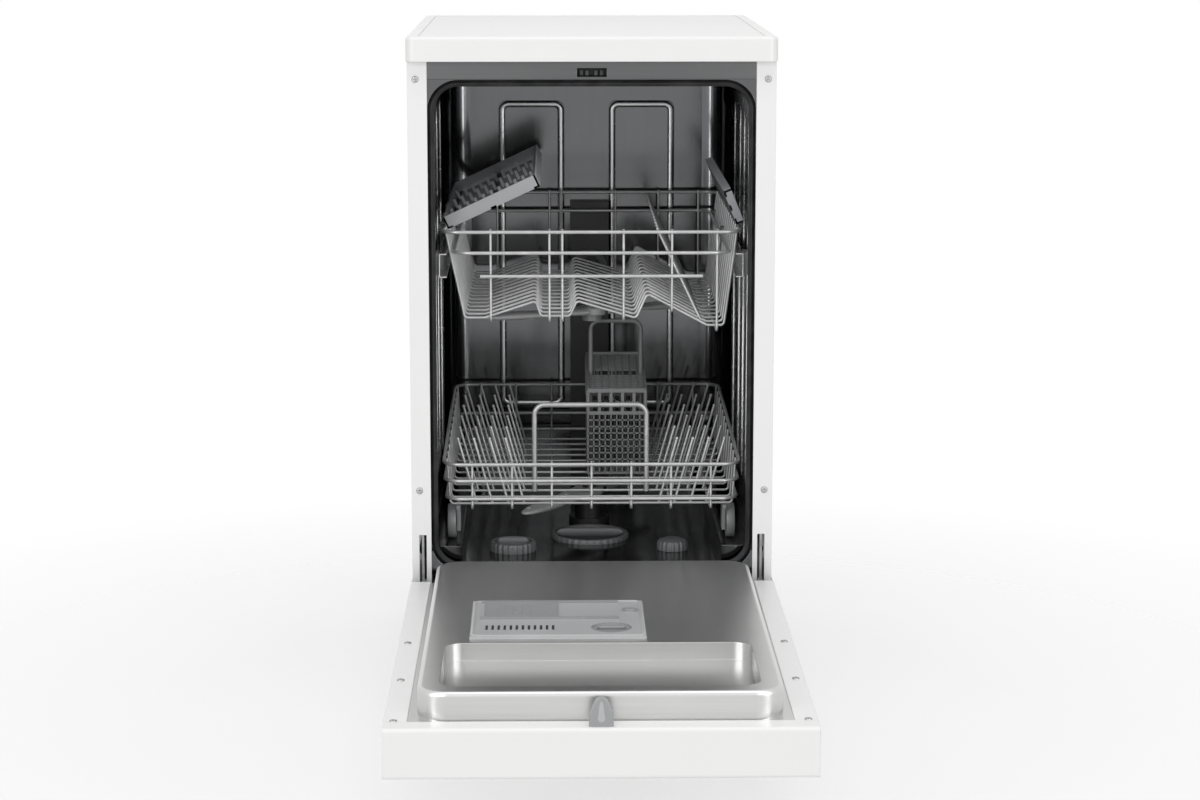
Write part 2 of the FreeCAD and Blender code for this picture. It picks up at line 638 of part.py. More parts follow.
def pan_recess(grown):
    """The sunk field, grown by one sheet thickness for the underside."""
    half = pan_half - S.RimWidth + grown
    return rounded_box(both(half), (down_door(S.RecessEnd) - grown, down_door(S.RecessStart) + grown),
                       (pan_top - S.RecessDeep - grown, pan_top + S.PanEdge), S.RecessCorner + grown,
                       "z")


tray_x = (S.DispenserLip - S.DispenserLeft, S.DispenserWide - S.DispenserLeft - S.DispenserLip)
dispenser_y = (down_door(S.DispenserStart + S.DispenserLong), down_door(S.DispenserStart))
tray_y = (dispenser_y[0] + S.DispenserLip, dispenser_y[1] - S.DispenserLip)
pan = Part.makeBox(2 * float(pan_flange_half), float(down_door(S.ReturnStart) - skin_start),
                   float(S.SheetGauge),
                   vector(-pan_flange_half, skin_start, arm_under))
pan = pan.fuse(pan_block(size_of(0)).cut(pan_recess(size_of(0))))
pan = pan.cut(pan_block(S.SheetGauge).cut(pan_recess(S.SheetGauge)))
opening = Part.makeBox(float(tray_x[1] - tray_x[0] + 2 * S.SeamGap),
                       float(tray_y[1] - tray_y[0] + 2 * S.SeamGap),
                       float(S.DispenserTray), vector(tray_x[0] - S.SeamGap, tray_y[0] - S.SeamGap,
                                                      pan_top - S.PanRise / 2))
shaped("door_inner_pan", pan.cut(opening).removeSplitter())

# Control panel: a channel along the door's top edge with its caps, handle cup, buttons, window and board.
panel_inside = door_outer + S.PanelGauge
outline = [(door_edge, door_outer), (panel_edge, door_outer), (panel_edge, panel_inside),
           (door_edge + S.PanelGauge, panel_inside), (door_edge + S.PanelGauge,
                                                      door_inner - S.PanelGauge),
           (skin_start, door_inner - S.PanelGauge), (skin_start, door_inner), (door_edge, door_inner)]
control = padded("control_panel", "YZ", outline, S.CabinetWidth, (0, 0, 0), -half_cabinet)
rounded(control, S.PanelRound,
        lambda e: along("x")(e) and abs(e.Vertexes[0].Y - float(door_edge)) < 1e-6)
handle_y = (door_edge + S.HandleFromEdge, door_edge + S.HandleFromEdge + S.HandleDeep)
button_y = door_edge + S.ButtonFromEdge
BUTTONS = {"power_button": -button_spread, "program_button": button_spread - S.ButtonPitch,
           "start_button": button_spread}
window_end = button_spread - S.ButtonPitch - S.WindowGap
window_x = (window_end - S.WindowWide, window_end)
handle_half = window_x[0] - S.HandleGap
handle_x = both(handle_half)
window_y = (button_y - S.WindowTall / 2, button_y + S.WindowTall / 2)
pocket(control, "XY", door_outer - S.PanelGauge, 3 * S.PanelGauge,
       [rectangle(*handle_x, *handle_y), rectangle(*window_x, *window_y)],
       [(x, button_y, S.ButtonRadius + S.ButtonGap) for x in BUTTONS.values()])
keep(control, "control_panel")
caps = [block("EndCap", span(side, half_cabinet - S.EndCap, half_cabinet),
              (door_edge + S.PanelGauge, skin_start),
              (panel_inside, door_inner - S.PanelGauge)) for side in SIDES.values()]
keep(grouped("control_end_caps", *caps), "control_end_caps")
cup_shell = block("HandleShell", both(handle_half + S.HandleWall),
                  (handle_y[0] - S.HandleWall, handle_y[1] + S.HandleWall),
                  (panel_inside, panel_inside + S.HandleRise))
cup_space = block("HandleSpace", handle_x, handle_y,
                  (door_outer, panel_inside + S.HandleRise - S.HandleWall))
keep(without("handle_cup", cup_shell, cup_space), "handle_cup")
for name, x in BUTTONS.items():
    button_z = (door_outer - S.ButtonProud, door_outer - S.ButtonProud + S.ButtonTall)
    keep(rod(name, "Z", (x, button_y), S.ButtonRadius, button_z), name)
keep(block("indicator_window", window_x, window_y, (door_outer, panel_inside)), "indicator_window")
board_x = (button_spread + S.ButtonRadius - S.BoardWide, button_spread + S.ButtonRadius)
board_y = (button_y - S.BoardDeep / 2, button_y + S.BoardDeep / 2)
board_bottom = panel_inside + S.BoardStand
board = block("BoardBox", board_x, board_y, (board_bottom, board_bottom + S.BoardThick))
posts = [rod("BoardPost", "Z", (x, y), S.BoardPost, (panel_inside, board_bottom))
         for x in (board_x[0] + S.BoardPost, board_x[1] - S.BoardPost)
         for y in (board_y[0] + S.BoardPost, board_y[1] - S.BoardPost)]
keep(joined("control_board", board, *posts), "control_board")

# Dispenser in the pan: a moulded body with a powder cup, its sliding lid and the rinse-aid cap.
dispenser_x = (-S.DispenserLeft, S.DispenserWide - S.DispenserLeft)
dispenser_top = pan_top + S.DispenserProud
plate = block("DispenserPlate", dispenser_x, dispenser_y, (pan_top, dispenser_top))
tray_box = block("DispenserTray", tray_x, tray_y, (pan_top - S.DispenserTray, dispenser_top))
cup_x = (tray_x[0] + S.DispenserLip, tray_x[0] + S.DispenserLip + S.CupWide)
cup_y = (tray_y[1] - S.DispenserLip - S.CupLong, tray_y[1] - S.DispenserLip)
cup_hollow = block("PowderCup", cup_x, cup_y, (dispenser_top - S.CupDeep, dispenser_top))
cap_place = (tray_x[1] - S.CapRadius - S.DispenserLip, tray_y[0] + S.CapRadius + S.DispenserLip)
cap_seat = rod("CapSeat", "Z", cap_place, S.CapRadius + S.SeamGap,
               (dispenser_top - S.CapTall, dispenser_top))
cap_neck = rod("CapNeckBore", "Z", cap_place, S.CapRadius / 2,
               (dispenser_top - S.CupDeep, dispenser_top))
keep(without("dispenser_body", joined("DispenserForm", plate, tray_box), cup_hollow, cap_seat,
             cap_neck), "dispenser_body")
lid_edge = S.DispenserLip / 2
lid_plate = block("LidPlate", (cup_x[0] - lid_edge, cup_x[1] + lid_edge),
                  (cup_y[0] - lid_edge, cup_y[1] + lid_edge),
                  (dispenser_top, dispenser_top + S.LidThick))
keep(lid_plate, "dispenser_lid")
cap_disc = rod("CapDisc", "Z", cap_place, S.CapRadius, (dispenser_top - S.CapTall, dispenser_top))
cap_grip = block("CapGrip", (cap_place[0] - S.CapRadius / 2, cap_place[0] + S.CapRadius / 2),
                 (cap_place[1] - S.LidThick, cap_place[1] + S.LidThick),
                 (dispenser_top, dispenser_top + S.LidThick))
cap_neck_in = rod("CapNeck", "Z", cap_place, S.CapRadius / 2 - S.SeamGap,
                  (dispenser_top - 2 * S.CapTall, dispenser_top))
keep(joined("rinse_aid_cap", cap_disc, cap_grip, cap_neck_in), "rinse_aid_cap")

# Latch striker on the door's top edge.
striker_y = down_door(S.LatchHeight - S.HingeHeight)
shoulder = door_inner + S.StrikerTall / 2
striker = padded("latch_striker", "XZ", [(-S.StrikerHalf, door_inner), (S.StrikerHalf, door_inner),
                                         (S.StrikerHalf, shoulder),
                                         (S.StrikerHalf / 2, door_inner + S.StrikerTall),
                                         (-S.StrikerHalf / 2, door_inner + S.StrikerTall),
                                         (-S.StrikerHalf, shoulder)],
                 S.StrikerThick, (0, 0, 0), striker_y - S.StrikerThick / 2)
keep(striker, "latch_striker")

# Screws: pan heads on the cabinet's front flanges and on the door's return flanges.
cabinet_screws = [rod("FrameScrew", "Y", (side * (flange_edge + S.ScrewInset), z), S.ScrewHead,
                      (back(-S.ScrewTall), back(0)))
                  for side in SIDES.values() for z in (S.FrameScrewHigh, S.FrameScrewLow)]
keep(grouped("frame_screws", *cabinet_screws), "frame_screws")
screw_x = return_edge + S.ScrewInset
door_screws = [rod("DoorScrew", "Z", (side * screw_x, down_door(run)), S.ScrewHead,
                   (door_inner, door_inner + S.DoorScrewTall))
               for side in SIDES.values() for run in (S.DoorScrewFirst,
                                                      S.DoorScrewFirst + S.DoorScrewPitch,
                                                       S.DoorScrewFirst + 2 * S.DoorScrewPitch)]
keep(grouped("door_screws", *door_screws), "door_screws")

# Upper rack: rim rails, stepped floor wires, long wires that turn up at both ends, and cup tines.
rack_y = (back(S.RackFront), back(S.RackBack))
wire_seat = (S.RailWire + S.FineWire) / 2 + S.WireGap


def rail_loop(half, height_front, height_back):
    """A rail right round a rack, butted at the middle of its back."""
    butt = S.WireGap
    low, high = rack_y
    points = [(butt, high, height_back), (half, high, height_back), (half, low, height_front),
              (-half, low, height_front),
              (-half, high, height_back), (-butt, high, height_back)]
    return bent_wire(points, S.RailWire, S.RackCorner)


# The floor wire's steps: places across the rack as shares of its half width, and heights over the floor.
WAVE = [(rack_half.value * share, rise) for share, rise in (
    (-0.849, 0), (-0.715, 0), (-0.371, 21), (-0.339, 2), (-0.145, 2), (-0.097, 21), (0.301, -1),
    (0.376, 30), (0.780, -10), (0.892, -10))]


def wave_height(x):
    """The height of the stepped floor at one place across the rack."""
    for (x0, z0), (x1, z1) in zip(WAVE, WAVE[1:]):
        if x0 <= x <= x1:
            return float(wave_floor) + z0 + (z1 - z0) * (x - x0) / (x1 - x0)
    raise ValueError(x)


low_rail = straight_wire((-low_half, rack_y[0], upper_low), (low_half, rack_y[0], upper_low),
                         S.RailWire)
rails = [rail_loop(rack_half, S.UpperRim, S.UpperRim), rail_loop(mid_half, upper_mid, upper_mid),
         low_rail]
rim_x = rack_half - wire_seat
wave_top = S.UpperRim + S.FineWire
waves = []
tines = []
for i in range(int(S.WaveCount.value)):
    y = back(S.WaveFirst + S.WavePitch * i)
    points = [(-rim_x, y, wave_top)] + [(x, y, wave_floor + z) for x,
                                        z in WAVE] + [(rim_x, y, wave_top)]
    waves.append(bent_wire(points, S.FineWire, S.WaveBend))
    tine_y = y + S.FineWire + S.WireGap
    foot = (rack_half * S.CupFootShare).value
    head = (rack_half * S.CupHeadShare, tine_y, S.UpperRim - S.CupTineDrop)
    tines.append(straight_wire((foot, tine_y, wave_height(foot)), head, S.FineWire))
shaped("upper_rack_floor", Part.makeCompound(waves + tines))
# Shares of the half width at which the long wires run.
LONG_WIRES = (-0.672, -0.280, -0.194, 0.215, 0.538, 0.839)
upright_y = (rack_y[0] + wire_seat, rack_y[1] - wire_seat)
under_wave = S.FineWire * S.UnderWave + S.WireGap
uprights = []
for share in LONG_WIRES:
    x = rack_half.value * share
    low = wave_height(x) - float(under_wave)
    points = [(x, upright_y[0], wave_top), (x, upright_y[0], low), (x, upright_y[1], low),
              (x, upright_y[1], wave_top)]
    uprights.append(bent_wire(points, S.FineWire, S.WaveBend))
shaped("upper_rack_frame", Part.makeCompound(rails + uprights))


# Cup shelves: slotted trays that clip round the rack's side wires and fold about them.
# Each clip sits in the gap between two floor wires that is next below one of these shares of the length.
CLIP_SHARES = (0.12, 0.35, 0.65, 0.9)


def cup_shelf(label, side, wide, tall, tilt):
    """A tray with floor slots and ribs, clipped on the wire at its own origin and turned up by a tilt."""
    near = float(S.ClipReach)
    far = near + float(wide)
    wall = float(S.ShelfWall)
    length = float(S.ShelfLong)
    floor = -wall
    tray_form = Part.makeBox(far - near, length, float(tall), FreeCAD.Vector(near, 0, floor))
    tray_form = tray_form.cut(Part.makeBox(far - near - 2 * wall, length - 2 * wall, float(tall),
                                           FreeCAD.Vector(near + wall, wall, floor + wall)))
    pitch = float(S.SlotPitch)
    for k in range(int((length - 2 * pitch) // pitch)):
        y = pitch * (k + 1)
        slot = Part.makeBox(far - near - 6 * wall, pitch - 3 * wall, 3 * wall,
                            FreeCAD.Vector(near + 3 * wall, y, floor - wall))
        tray_form = tray_form.cut(slot)
        rib = Part.makeBox(far - near - 6 * wall, wall, float(tall * S.RibShare),
                           FreeCAD.Vector(near + 3 * wall, y + pitch - 2 * wall, floor))
        tray_form = tray_form.fuse(rib)
    start = S.RackFront + S.RackCorner
    for share in CLIP_SHARES:
        wave = int(share * length / S.WavePitch.value)
        y = float(S.WaveFirst + S.WavePitch * wave + S.WavePitch / 2 - start - S.ClipWide / 2)
        bore_radius = float(S.RailWire / 2 + S.ClipGap)
        ring = Part.makeCylinder(float(S.ClipRadius), float(S.ClipWide), FreeCAD.Vector(0, y, 0),
                                 FreeCAD.Vector(0, 1, 0))
        web = Part.makeBox(near + wall, float(S.ClipWide), wall, FreeCAD.Vector(0, y, floor))
        hole = Part.makeCylinder(bore_radius, float(S.ClipWide), FreeCAD.Vector(0, y, 0),
                                 FreeCAD.Vector(0, 1, 0))
        tray_form = tray_form.fuse(ring.fuse(web).cut(hole))
    if side > 0:
        tray_form = tray_form.mirror(FreeCAD.Vector(), FreeCAD.Vector(1, 0, 0))
    shelf = shaped(label, tray_form.removeSplitter())
    turn = FreeCAD.Rotation(FreeCAD.Vector(0, 1, 0), float(tilt) * side)
    shelf.Placement = FreeCAD.Placement(vector(side * rack_half, back(start), S.UpperRim), turn)


cup_shelf("cup_shelf_left", -1, S.ShelfWide, S.ShelfTall, S.ShelfTilt)
cup_shelf("cup_shelf_right", 1, S.CombWide, S.CombTall, S.CombTilt)

# Upper slides: channel rails on wall guides, with the rack's rollers running inside them.
slide_z = (slide_mid - S.SlideTall / 2, slide_mid + S.SlideTall / 2)
slide_y = (back(S.SlideFront), back(S.SlideBack))
lip_x = slide_half - S.SlideWide
roller_radius = S.SlideTall / 2 - S.SlideGauge - S.WheelGap
roller_x = (lip_x + S.SeamGap, lip_x + S.SeamGap + S.RollerWide)
slides = []
guides = []
carriers = []
ROLLERS = {"upper_front_rollers": back(S.RollerFront), "upper_rear_rollers": back(S.RollerRear)}
for side in SIDES.values():
    web = block("SlideWeb", span(side, slide_half - S.SlideGauge, slide_half), slide_y, slide_z)
    lower_lip = block("SlideLip", span(side, lip_x, slide_half), slide_y,
                      (slide_z[0], slide_z[0] + S.SlideGauge))
    upper_lip = block("SlideLip", span(side, lip_x, slide_half), slide_y,
                      (slide_z[1] - S.SlideGauge, slide_z[1]))
    slides.append(joined("Slide", web, lower_lip, upper_lip))
    for y in (S.GuideFirst, S.GuideSecond):
        guides.append(block("Guide", span(side, slide_half + S.WheelGap, tub_half),
                            (back(y), back(y + S.GuideLong)),
                            (slide_z[0] + S.SlideGauge, slide_z[1] - S.SlideGauge)))
    for y in ROLLERS.values():
        cheek_x = (mid_half + S.RailWire / 2 + S.WireGap, lip_x - S.SeamGap)
        cheek = block("RollerCheek", span(side, *cheek_x), (y - S.CheekHalf, y + S.CheekHalf),
                      (slide_mid - S.CheekHalf, upper_mid + S.RailWire))
        stub = rod("RollerStub", "X", (y, slide_mid), S.RollerBore,
                   span(side, cheek_x[0], roller_x[1]))
        carriers.append(joined("RollerCarrier", cheek, stub))
keep(grouped("upper_slides", *slides), "upper_slides")
keep(grouped("slide_guides", *guides), "slide_guides")
keep(grouped("roller_carriers", *carriers), "roller_carriers")
for name, y in ROLLERS.items():
    pair = [without("Roller", rod("RollerDisc", "X", (y, slide_mid), roller_radius,
                                  span(side, *roller_x)),
                    rod("RollerHole", "X", (y, slide_mid), S.RollerBore + S.RunningGap,
                        span(side, *roller_x)))
            for side in SIDES.values()]
    keep(grouped(name, *pair), name)

# Upper spray: a conduit up the tub's back, a feed pipe under the rack with its spindle, and the arm.
conduit_x = (S.PipeOffset - S.ConduitWide / 2, S.PipeOffset + S.ConduitWide / 2)
conduit_front = back(S.TubBack - S.ConduitDeep)
column = block("ConduitColumn", conduit_x, (conduit_front, back(S.TubBack)),
               (S.TubFloor, pipe_z + S.ConduitOver))
port = rod("ConduitPort", "Y", (S.PipeOffset, pipe_z), S.PortRadius,
           (conduit_front - S.PortRadius / 3, conduit_front))
keep(joined("spray_conduit", column, port), "spray_conduit")
arm_y = back(S.ArmCentre)
pipe_y = (arm_y - 2 * S.PipeRadius, conduit_front - S.PortRadius / 3 - S.WheelGap)
spindle_z = (upper_arm_z - S.SpindleNut, pipe_z)
feed = joined("FeedForm", rod("FeedPipe", "Y", (S.PipeOffset, pipe_z), S.PipeRadius, pipe_y),
              rod("FeedSpindle", "Z", (S.PipeOffset, arm_y), S.SpindleRadius - S.RunningGap, spindle_z),
              rod("FeedNut", "Z", (S.PipeOffset, arm_y), S.SpindleRadius + S.SpindleNut / 2,
                  (spindle_z[0], upper_arm_z - S.WheelGap)))
feed_bore = rod("FeedBore", "Y", (S.PipeOffset, pipe_z), S.PipeBore, (arm_y, pipe_y[1]))
keep(without("upper_spray_feed", feed, feed_bore), "upper_spray_feed")


def spray_arm(label, x, y, z, reach, turn):
    """A tapered hollow-looking arm with a round hub and a row of jets on each half."""
    root = S.ArmRootWide / 2
    tip = S.ArmTipWide / 2
    body = padded(label, "XY",
                  [(reach, -tip), (reach, tip), (S.HubRadius, root), (-S.HubRadius, root),
                   (-reach, tip), (-reach, -tip), (-S.HubRadius, -root), (S.HubRadius, -root)],
                   S.ArmThick, (x, y, z))
    rounded(body, S.ArmTipWide / 3, lambda e: along("z")(e) and abs(e.Vertexes[0].X) > float(reach) - 1)
    pocket(body, "XY", -S.ArmThick, 3 * S.ArmThick, circles=[(0, 0, S.SpindleRadius)])
    jets = [(side * (S.HubRadius + S.JetPitch * (k + 1)), side * (k % 2 - 0.5) * S.ArmTipWide / 2,
             S.JetRadius)
            for side in SIDES.values() for k in range(int(S.JetCount.value))]
    pocket(body, "XY", S.ArmThick - S.JetDeep, 2 * S.JetDeep, circles=jets)
    bind(body, "Placement.Rotation.Angle", turn)
    keep(body, label)


spray_arm("upper_spray_arm", S.PipeOffset, arm_y, upper_arm_z, (tub_half - S.UpperArmGap),
          S.UpperArmTurn)

# Lower spray arm on its support, which stands on the tub floor.
foot_disc = rod("SupportFoot", "Z", (0, arm_y), S.HubRadius + S.SpindleNut,
                (S.TubFloor, S.TubFloor + S.SpindleNut))
stand = rod("SupportStand", "Z", (0, arm_y), S.HubRadius, (S.TubFloor, lower_arm_z - S.WheelGap))
spindle = rod("SupportSpindle", "Z", (0, arm_y), S.SpindleRadius - S.RunningGap,
              (S.TubFloor, lower_arm_z + S.ArmThick + S.SpindleNut))
arm_support = joined("ArmSupport", foot_disc, stand, spindle)
spray_arm("lower_spray_arm", 0, arm_y, lower_arm_z, (tub_half - S.LowerArmGap), S.LowerArmTurn)

# Lower rack: rails, cross wires, long wires, leaning plate tines and the lifting handle.
def rim_height(y):
    """The height of the lower rack's sloping rim at a depth."""
    share = (y - rack_y[0]).value / (rack_y[1] - rack_y[0]).value
    return S.LowerRim + (S.LowerRimBack - S.LowerRim) * share


def cross_half(z):
    """Half the width of the lower rack's cross wires at a height."""
    rise = (z - S.LowerFloor).value / (S.LowerRim - S.LowerFloor).value
    return cross_foot + (rim_x - cross_foot) * rise


lower_rails = [rail_loop(rack_half, S.LowerRim, S.LowerRimBack)]
lower_rails += [rail_loop(cross_half(z) + wire_seat + S.WireGap, z, z)
                for z in (S.LowerMid, S.LowerLow)]
basket_x = (S.BasketMiddle - S.BasketWide / 2, S.BasketMiddle + S.BasketWide / 2)


def tine_feet(side, bound):
    """Places of the tines on one side, from the outermost inwards as far as a bound."""
    outer = cross_foot - S.TineInset
    count = 1 + int((outer - bound).value // S.TinePitch.value)
    return [side * (outer - S.TinePitch * k) for k in range(count)]


tine_places = tine_feet(-1, S.TineLane) + tine_feet(1, basket_x[1] + S.TineGap)
crosses = []
plate_tines = []
for i in range(int(S.CrossCount.value)):
    y = back(S.CrossFirst + S.CrossPitch * i)
    top = rim_height(y) + S.FineWire
    points = [(-rim_x, y, top), (-cross_foot, y, S.LowerFloor), (cross_foot, y, S.LowerFloor),
              (rim_x, y, top)]
    crosses.append(bent_wire(points, S.FineWire, S.WaveBend))
    if i % int(S.TineEvery.value) == 0:
        for x in tine_places:
            tine_y = y + S.FineWire + S.WireGap
            lean = (S.TineLean if x.value > 0 else -S.TineLean)
            head = (x + lean, tine_y, S.LowerFloor + S.TineTall)
            plate_tines.append(straight_wire((x, tine_y, S.LowerFloor), head, S.FineWire))
long_z = S.LowerFloor - S.FineWire - S.WireGap
for k in range(int(S.LongCount.value)):
    x = (cross_foot - S.LongInset) * (2 * k / (S.LongCount.value - 1) - 1)
    points = [(x, upright_y[0], S.LowerRim + S.FineWire), (x, upright_y[0], long_z),
              (x, upright_y[1], long_z), (x, upright_y[1], S.LowerRimBack + S.FineWire)]
    crosses.append(bent_wire(points, S.FineWire, S.WaveBend))
shaped("lower_rack_floor", Part.makeCompound(crosses + plate_tines))
handle_at = back(S.CrossFirst + 2 * S.CrossPitch) - (S.HandleWire + S.FineWire) / 2 - S.WireGap
lift_handle = bent_wire([(-S.HandleHalf, handle_at, S.LowerFloor),
                         (-S.HandleHalf, handle_at, S.HandleTop),
                         (S.HandleHalf, handle_at, S.HandleTop),
                         (S.HandleHalf, handle_at, S.LowerFloor)], S.HandleWire, 2 * S.HandleWire)
shaped("lower_rack_frame", Part.makeCompound(lower_rails + [lift_handle]))

# Lower wheels on carriers whose saddles lie under the cross wires.
saddle_top = S.LowerFloor - S.FineWire / 2 - S.WireGap
wheel_z = S.LedgeHeight + S.WheelGap + S.WheelRadius
wheel_x = (wheel_near, wheel_near + S.WheelWide)
WHEELS = {"lower_front_wheels": back(S.WheelFront), "lower_rear_wheels": back(S.WheelRear)}
wheel_carriers = []
for name, y in WHEELS.items():
    pair = []
    for side in SIDES.values():
        carrier_x = (wheel_near - S.SeamGap - S.CarrierThick, wheel_near - S.SeamGap)
        cheek = block("WheelCheek", span(side, *carrier_x), (y - S.CheekHalf, y + S.CheekHalf),
                      (wheel_z - S.CheekHalf, saddle_top))
        saddle = block("WheelSaddle", span(side, *carrier_x), (y - S.SaddleHalf, y + S.SaddleHalf),
                       (saddle_top - S.CarrierThick, saddle_top))
        axle = rod("WheelAxle", "X", (y, wheel_z), S.AxleRadius, span(side, carrier_x[0], wheel_x[1]))
        wheel_carriers.append(joined("WheelCarrier", cheek, saddle, axle))
        disc = rod("WheelDisc", "X", (y, wheel_z), S.WheelRadius, span(side, *wheel_x))
        bore = rod("WheelBore", "X", (y, wheel_z), S.AxleRadius + S.RunningGap, span(side, *wheel_x))
        pair.append(without("Wheel", disc, bore))
    keep(grouped(name, *pair), name)
keep(grouped("wheel_carriers", *wheel_carriers), "wheel_carriers")

# Cutlery basket: a slotted box with a sloping top edge and a hoop handle.
basket_y = (back(S.BasketPlace), back(S.BasketPlace + S.BasketLong))
basket_base = S.LowerFloor + S.FineWire / 2 + S.WireGap
basket_tall = (upper_arm_z - basket_base) * S.BasketShare
basket_top = basket_base + basket_tall
hoop_top = upper_arm_z - S.BasketClear
outline = [(basket_y[0], basket_base), (basket_y[1], basket_base), (basket_y[1], basket_top),
           (basket_y[0], basket_top - S.BasketSlope)]
basket = padded("BasketBox", "YZ", outline, S.BasketWide, (0, 0, 0), basket_x[0])
pocket(basket, "XY", basket_base + S.BasketWall, basket_tall,
       [rectangle(basket_x[0] + S.BasketWall, basket_x[1] - S.BasketWall, basket_y[0] + S.BasketWall,
                  basket_y[1] - S.BasketWall)])
slot_z = (basket_base + 4 * S.BasketWall, basket_top - S.BasketSlope - 4 * S.BasketWall)


def slot_row(low, high):
    """Upright slots spread between two ends of a wall."""
    pitch = (high - low) / S.BasketSlots
    return [rectangle(low + pitch * k + S.BasketWall, low + pitch * (k + 1) - S.BasketWall, *slot_z)
            for k in range(int(S.BasketSlots.value))]


pocket(basket, "XZ", basket_y[0] - S.BasketWall, S.BasketLong + 2 * S.BasketWall, slot_row(*basket_x))
pocket(basket, "YZ", basket_x[0] - S.BasketWall, S.BasketWide + 2 * S.BasketWall, slot_row(*basket_y))
hoop_y = (basket_y[0] + basket_y[1]) / 2
hoop_half = S.BasketWide / 2 - S.BasketWall - S.BasketHandle / 2 - S.WireGap
hoop_foot = basket_base + S.BasketWall
hoop = doc.addObject("Part::Feature", "BasketHoop")
hoop.Shape = bent_wire([(S.BasketMiddle - hoop_half, hoop_y, hoop_foot),
                        (S.BasketMiddle - hoop_half, hoop_y, hoop_top),
                        (S.BasketMiddle + hoop_half, hoop_y, hoop_top),
                        (S.BasketMiddle + hoop_half, hoop_y, hoop_foot)], S.BasketHandle,
                        2 * S.BasketHandle)
keep(joined("cutlery_basket", basket, hoop), "cutlery_basket")

# Sump, filter, salt cap and float at the tub floor.
sump_z = (tub_under - S.SumpDrop, tub_under)
sump = without("SumpCup", rod("SumpBody", "Z", (0, filter_y), S.SumpRadius, sump_z),
               rod("SumpWell", "Z", (0, filter_y), filter_hole + S.WheelGap,
                   (sump_z[0] + S.FilterRim, sump_z[1])))
keep(grouped("sump", sump, arm_support), "sump")
filter_z = (S.TubFloor + S.FilterRim - S.FilterTall, S.TubFloor + S.FilterRim)
filter_form = joined("FilterForm", rod("FilterCup", "Z", (0, filter_y), S.FilterRadius, filter_z),
                     rod("FilterFlange", "Z", (0, filter_y), S.FilterRadius + S.FilterRim,
                         (S.TubFloor, filter_z[1])))
filter_space = rod("FilterSpace", "Z", (0, filter_y), S.FilterRadius - S.BasketWall,
                   (filter_z[0] + S.BasketWall, filter_z[1]))
grip = block("FilterGrip", both(S.FilterRadius - S.BasketWall / 2),
             (filter_y - S.BasketWall, filter_y + S.BasketWall),
             (filter_z[0], filter_z[1] + S.FilterRim))
keep(joined("filter_cup", without("FilterShell", filter_form, filter_space), grip), "filter_cup")
salt_place = (-salt_aside, back(S.FloatPlace))
salt_disc = rod("SaltDisc", "Z", salt_place, S.SaltRadius, (S.TubFloor, S.TubFloor + S.SaltTall))
salt_grip = block("SaltGrip", (salt_place[0] - S.SaltRadius * S.GripShare,
                               salt_place[0] + S.SaltRadius * S.GripShare),
                  (salt_place[1] - S.BasketWall, salt_place[1] + S.BasketWall),
                  (S.TubFloor, S.TubFloor + S.SaltTall + S.FilterRim))
keep(joined("salt_cap", salt_disc, salt_grip), "salt_cap")
float_z = (S.TubFloor + S.WheelGap, S.TubFloor + S.WheelGap + S.FloatTall)
keep(joined("overfill_float", rod("FloatDome", "Z", float_place, S.FloatRadius, float_z),
            rod("FloatStem", "Z", float_place, S.FloatStem, (tub_under - S.FloatTall, float_z[1]))),
            "overfill_float")

# Water works on the base tray: softener, pumps, inlet valve, drain outlet and terminal box.
keep(block("softener_tank", (-inner_side + S.SaltRadius, -(S.SumpRadius + S.TankGap)),
           (salt_place[1] - S.SaltRadius, salt_place[1] + 2 * S.SaltRadius), (tray_floor, tub_under)),
           "softener_tank")
pump_y = back(S.PumpPlace)
pump = joined("heating_pump",
              rod("PumpCan", "X", (pump_y, S.PumpHeight), S.PumpRadius, both(S.PumpLong / 2)),
              block("PumpFoot", both(S.PumpRadius / 2),
                    (pump_y - S.PumpRadius / 2, pump_y + S.PumpRadius / 2), (tray_floor, S.PumpHeight)),
                    rod("PumpRiser", "Z", (0, pump_y), S.DrainRadius, (S.PumpHeight, tub_under)))
keep(pump, "heating_pump")
drain_x = (S.SumpRadius + S.SeamGap, S.SumpRadius + S.SeamGap + S.DrainLong)
keep(joined("drain_pump", rod("DrainCan", "X", (filter_y, sump_z[0] + S.DrainRadius), S.DrainRadius,
                              drain_x),
            block("DrainFoot", (drain_x[0] + S.DrainRadius / 2, drain_x[1]),
                  (filter_y - S.DrainRadius / 2, filter_y + S.DrainRadius / 2),
                  (tray_floor, sump_z[0] + S.DrainRadius))), "drain_pump")
spigot_end = back(S.CabinetDepth)


def rear_unit(label, x, half, radius, length, bore):
    """A box on the base tray with a round spigot that ends flush with the cabinet's back."""
    body_back = spigot_end - length
    box = block(label + "Box", (x - half, x + half), (body_back - 2 * half, body_back),
                (tray_floor, S.SpigotHeight + half))
    neck = rod(label + "Neck", "Y", (x, S.SpigotHeight), radius, (body_back - half, spigot_end))
    hole = rod(label + "Bore", "Y", (x, S.SpigotHeight), bore, (body_back - half, spigot_end))
    keep(without(label, joined(label + "Form", box, neck), hole), label)


rear_unit("inlet_valve", -spigot_aside, S.SpigotBox, S.InletRadius, S.InletLong, S.InletBore)
rear_unit("drain_outlet", spigot_aside, S.SpigotBox, S.DrainSpigot, S.SpigotLong, S.DrainBore)
rear_unit("terminal_box", gland_aside, S.SpigotBox, S.GlandRadius, S.GlandLong, S.GlandBore)

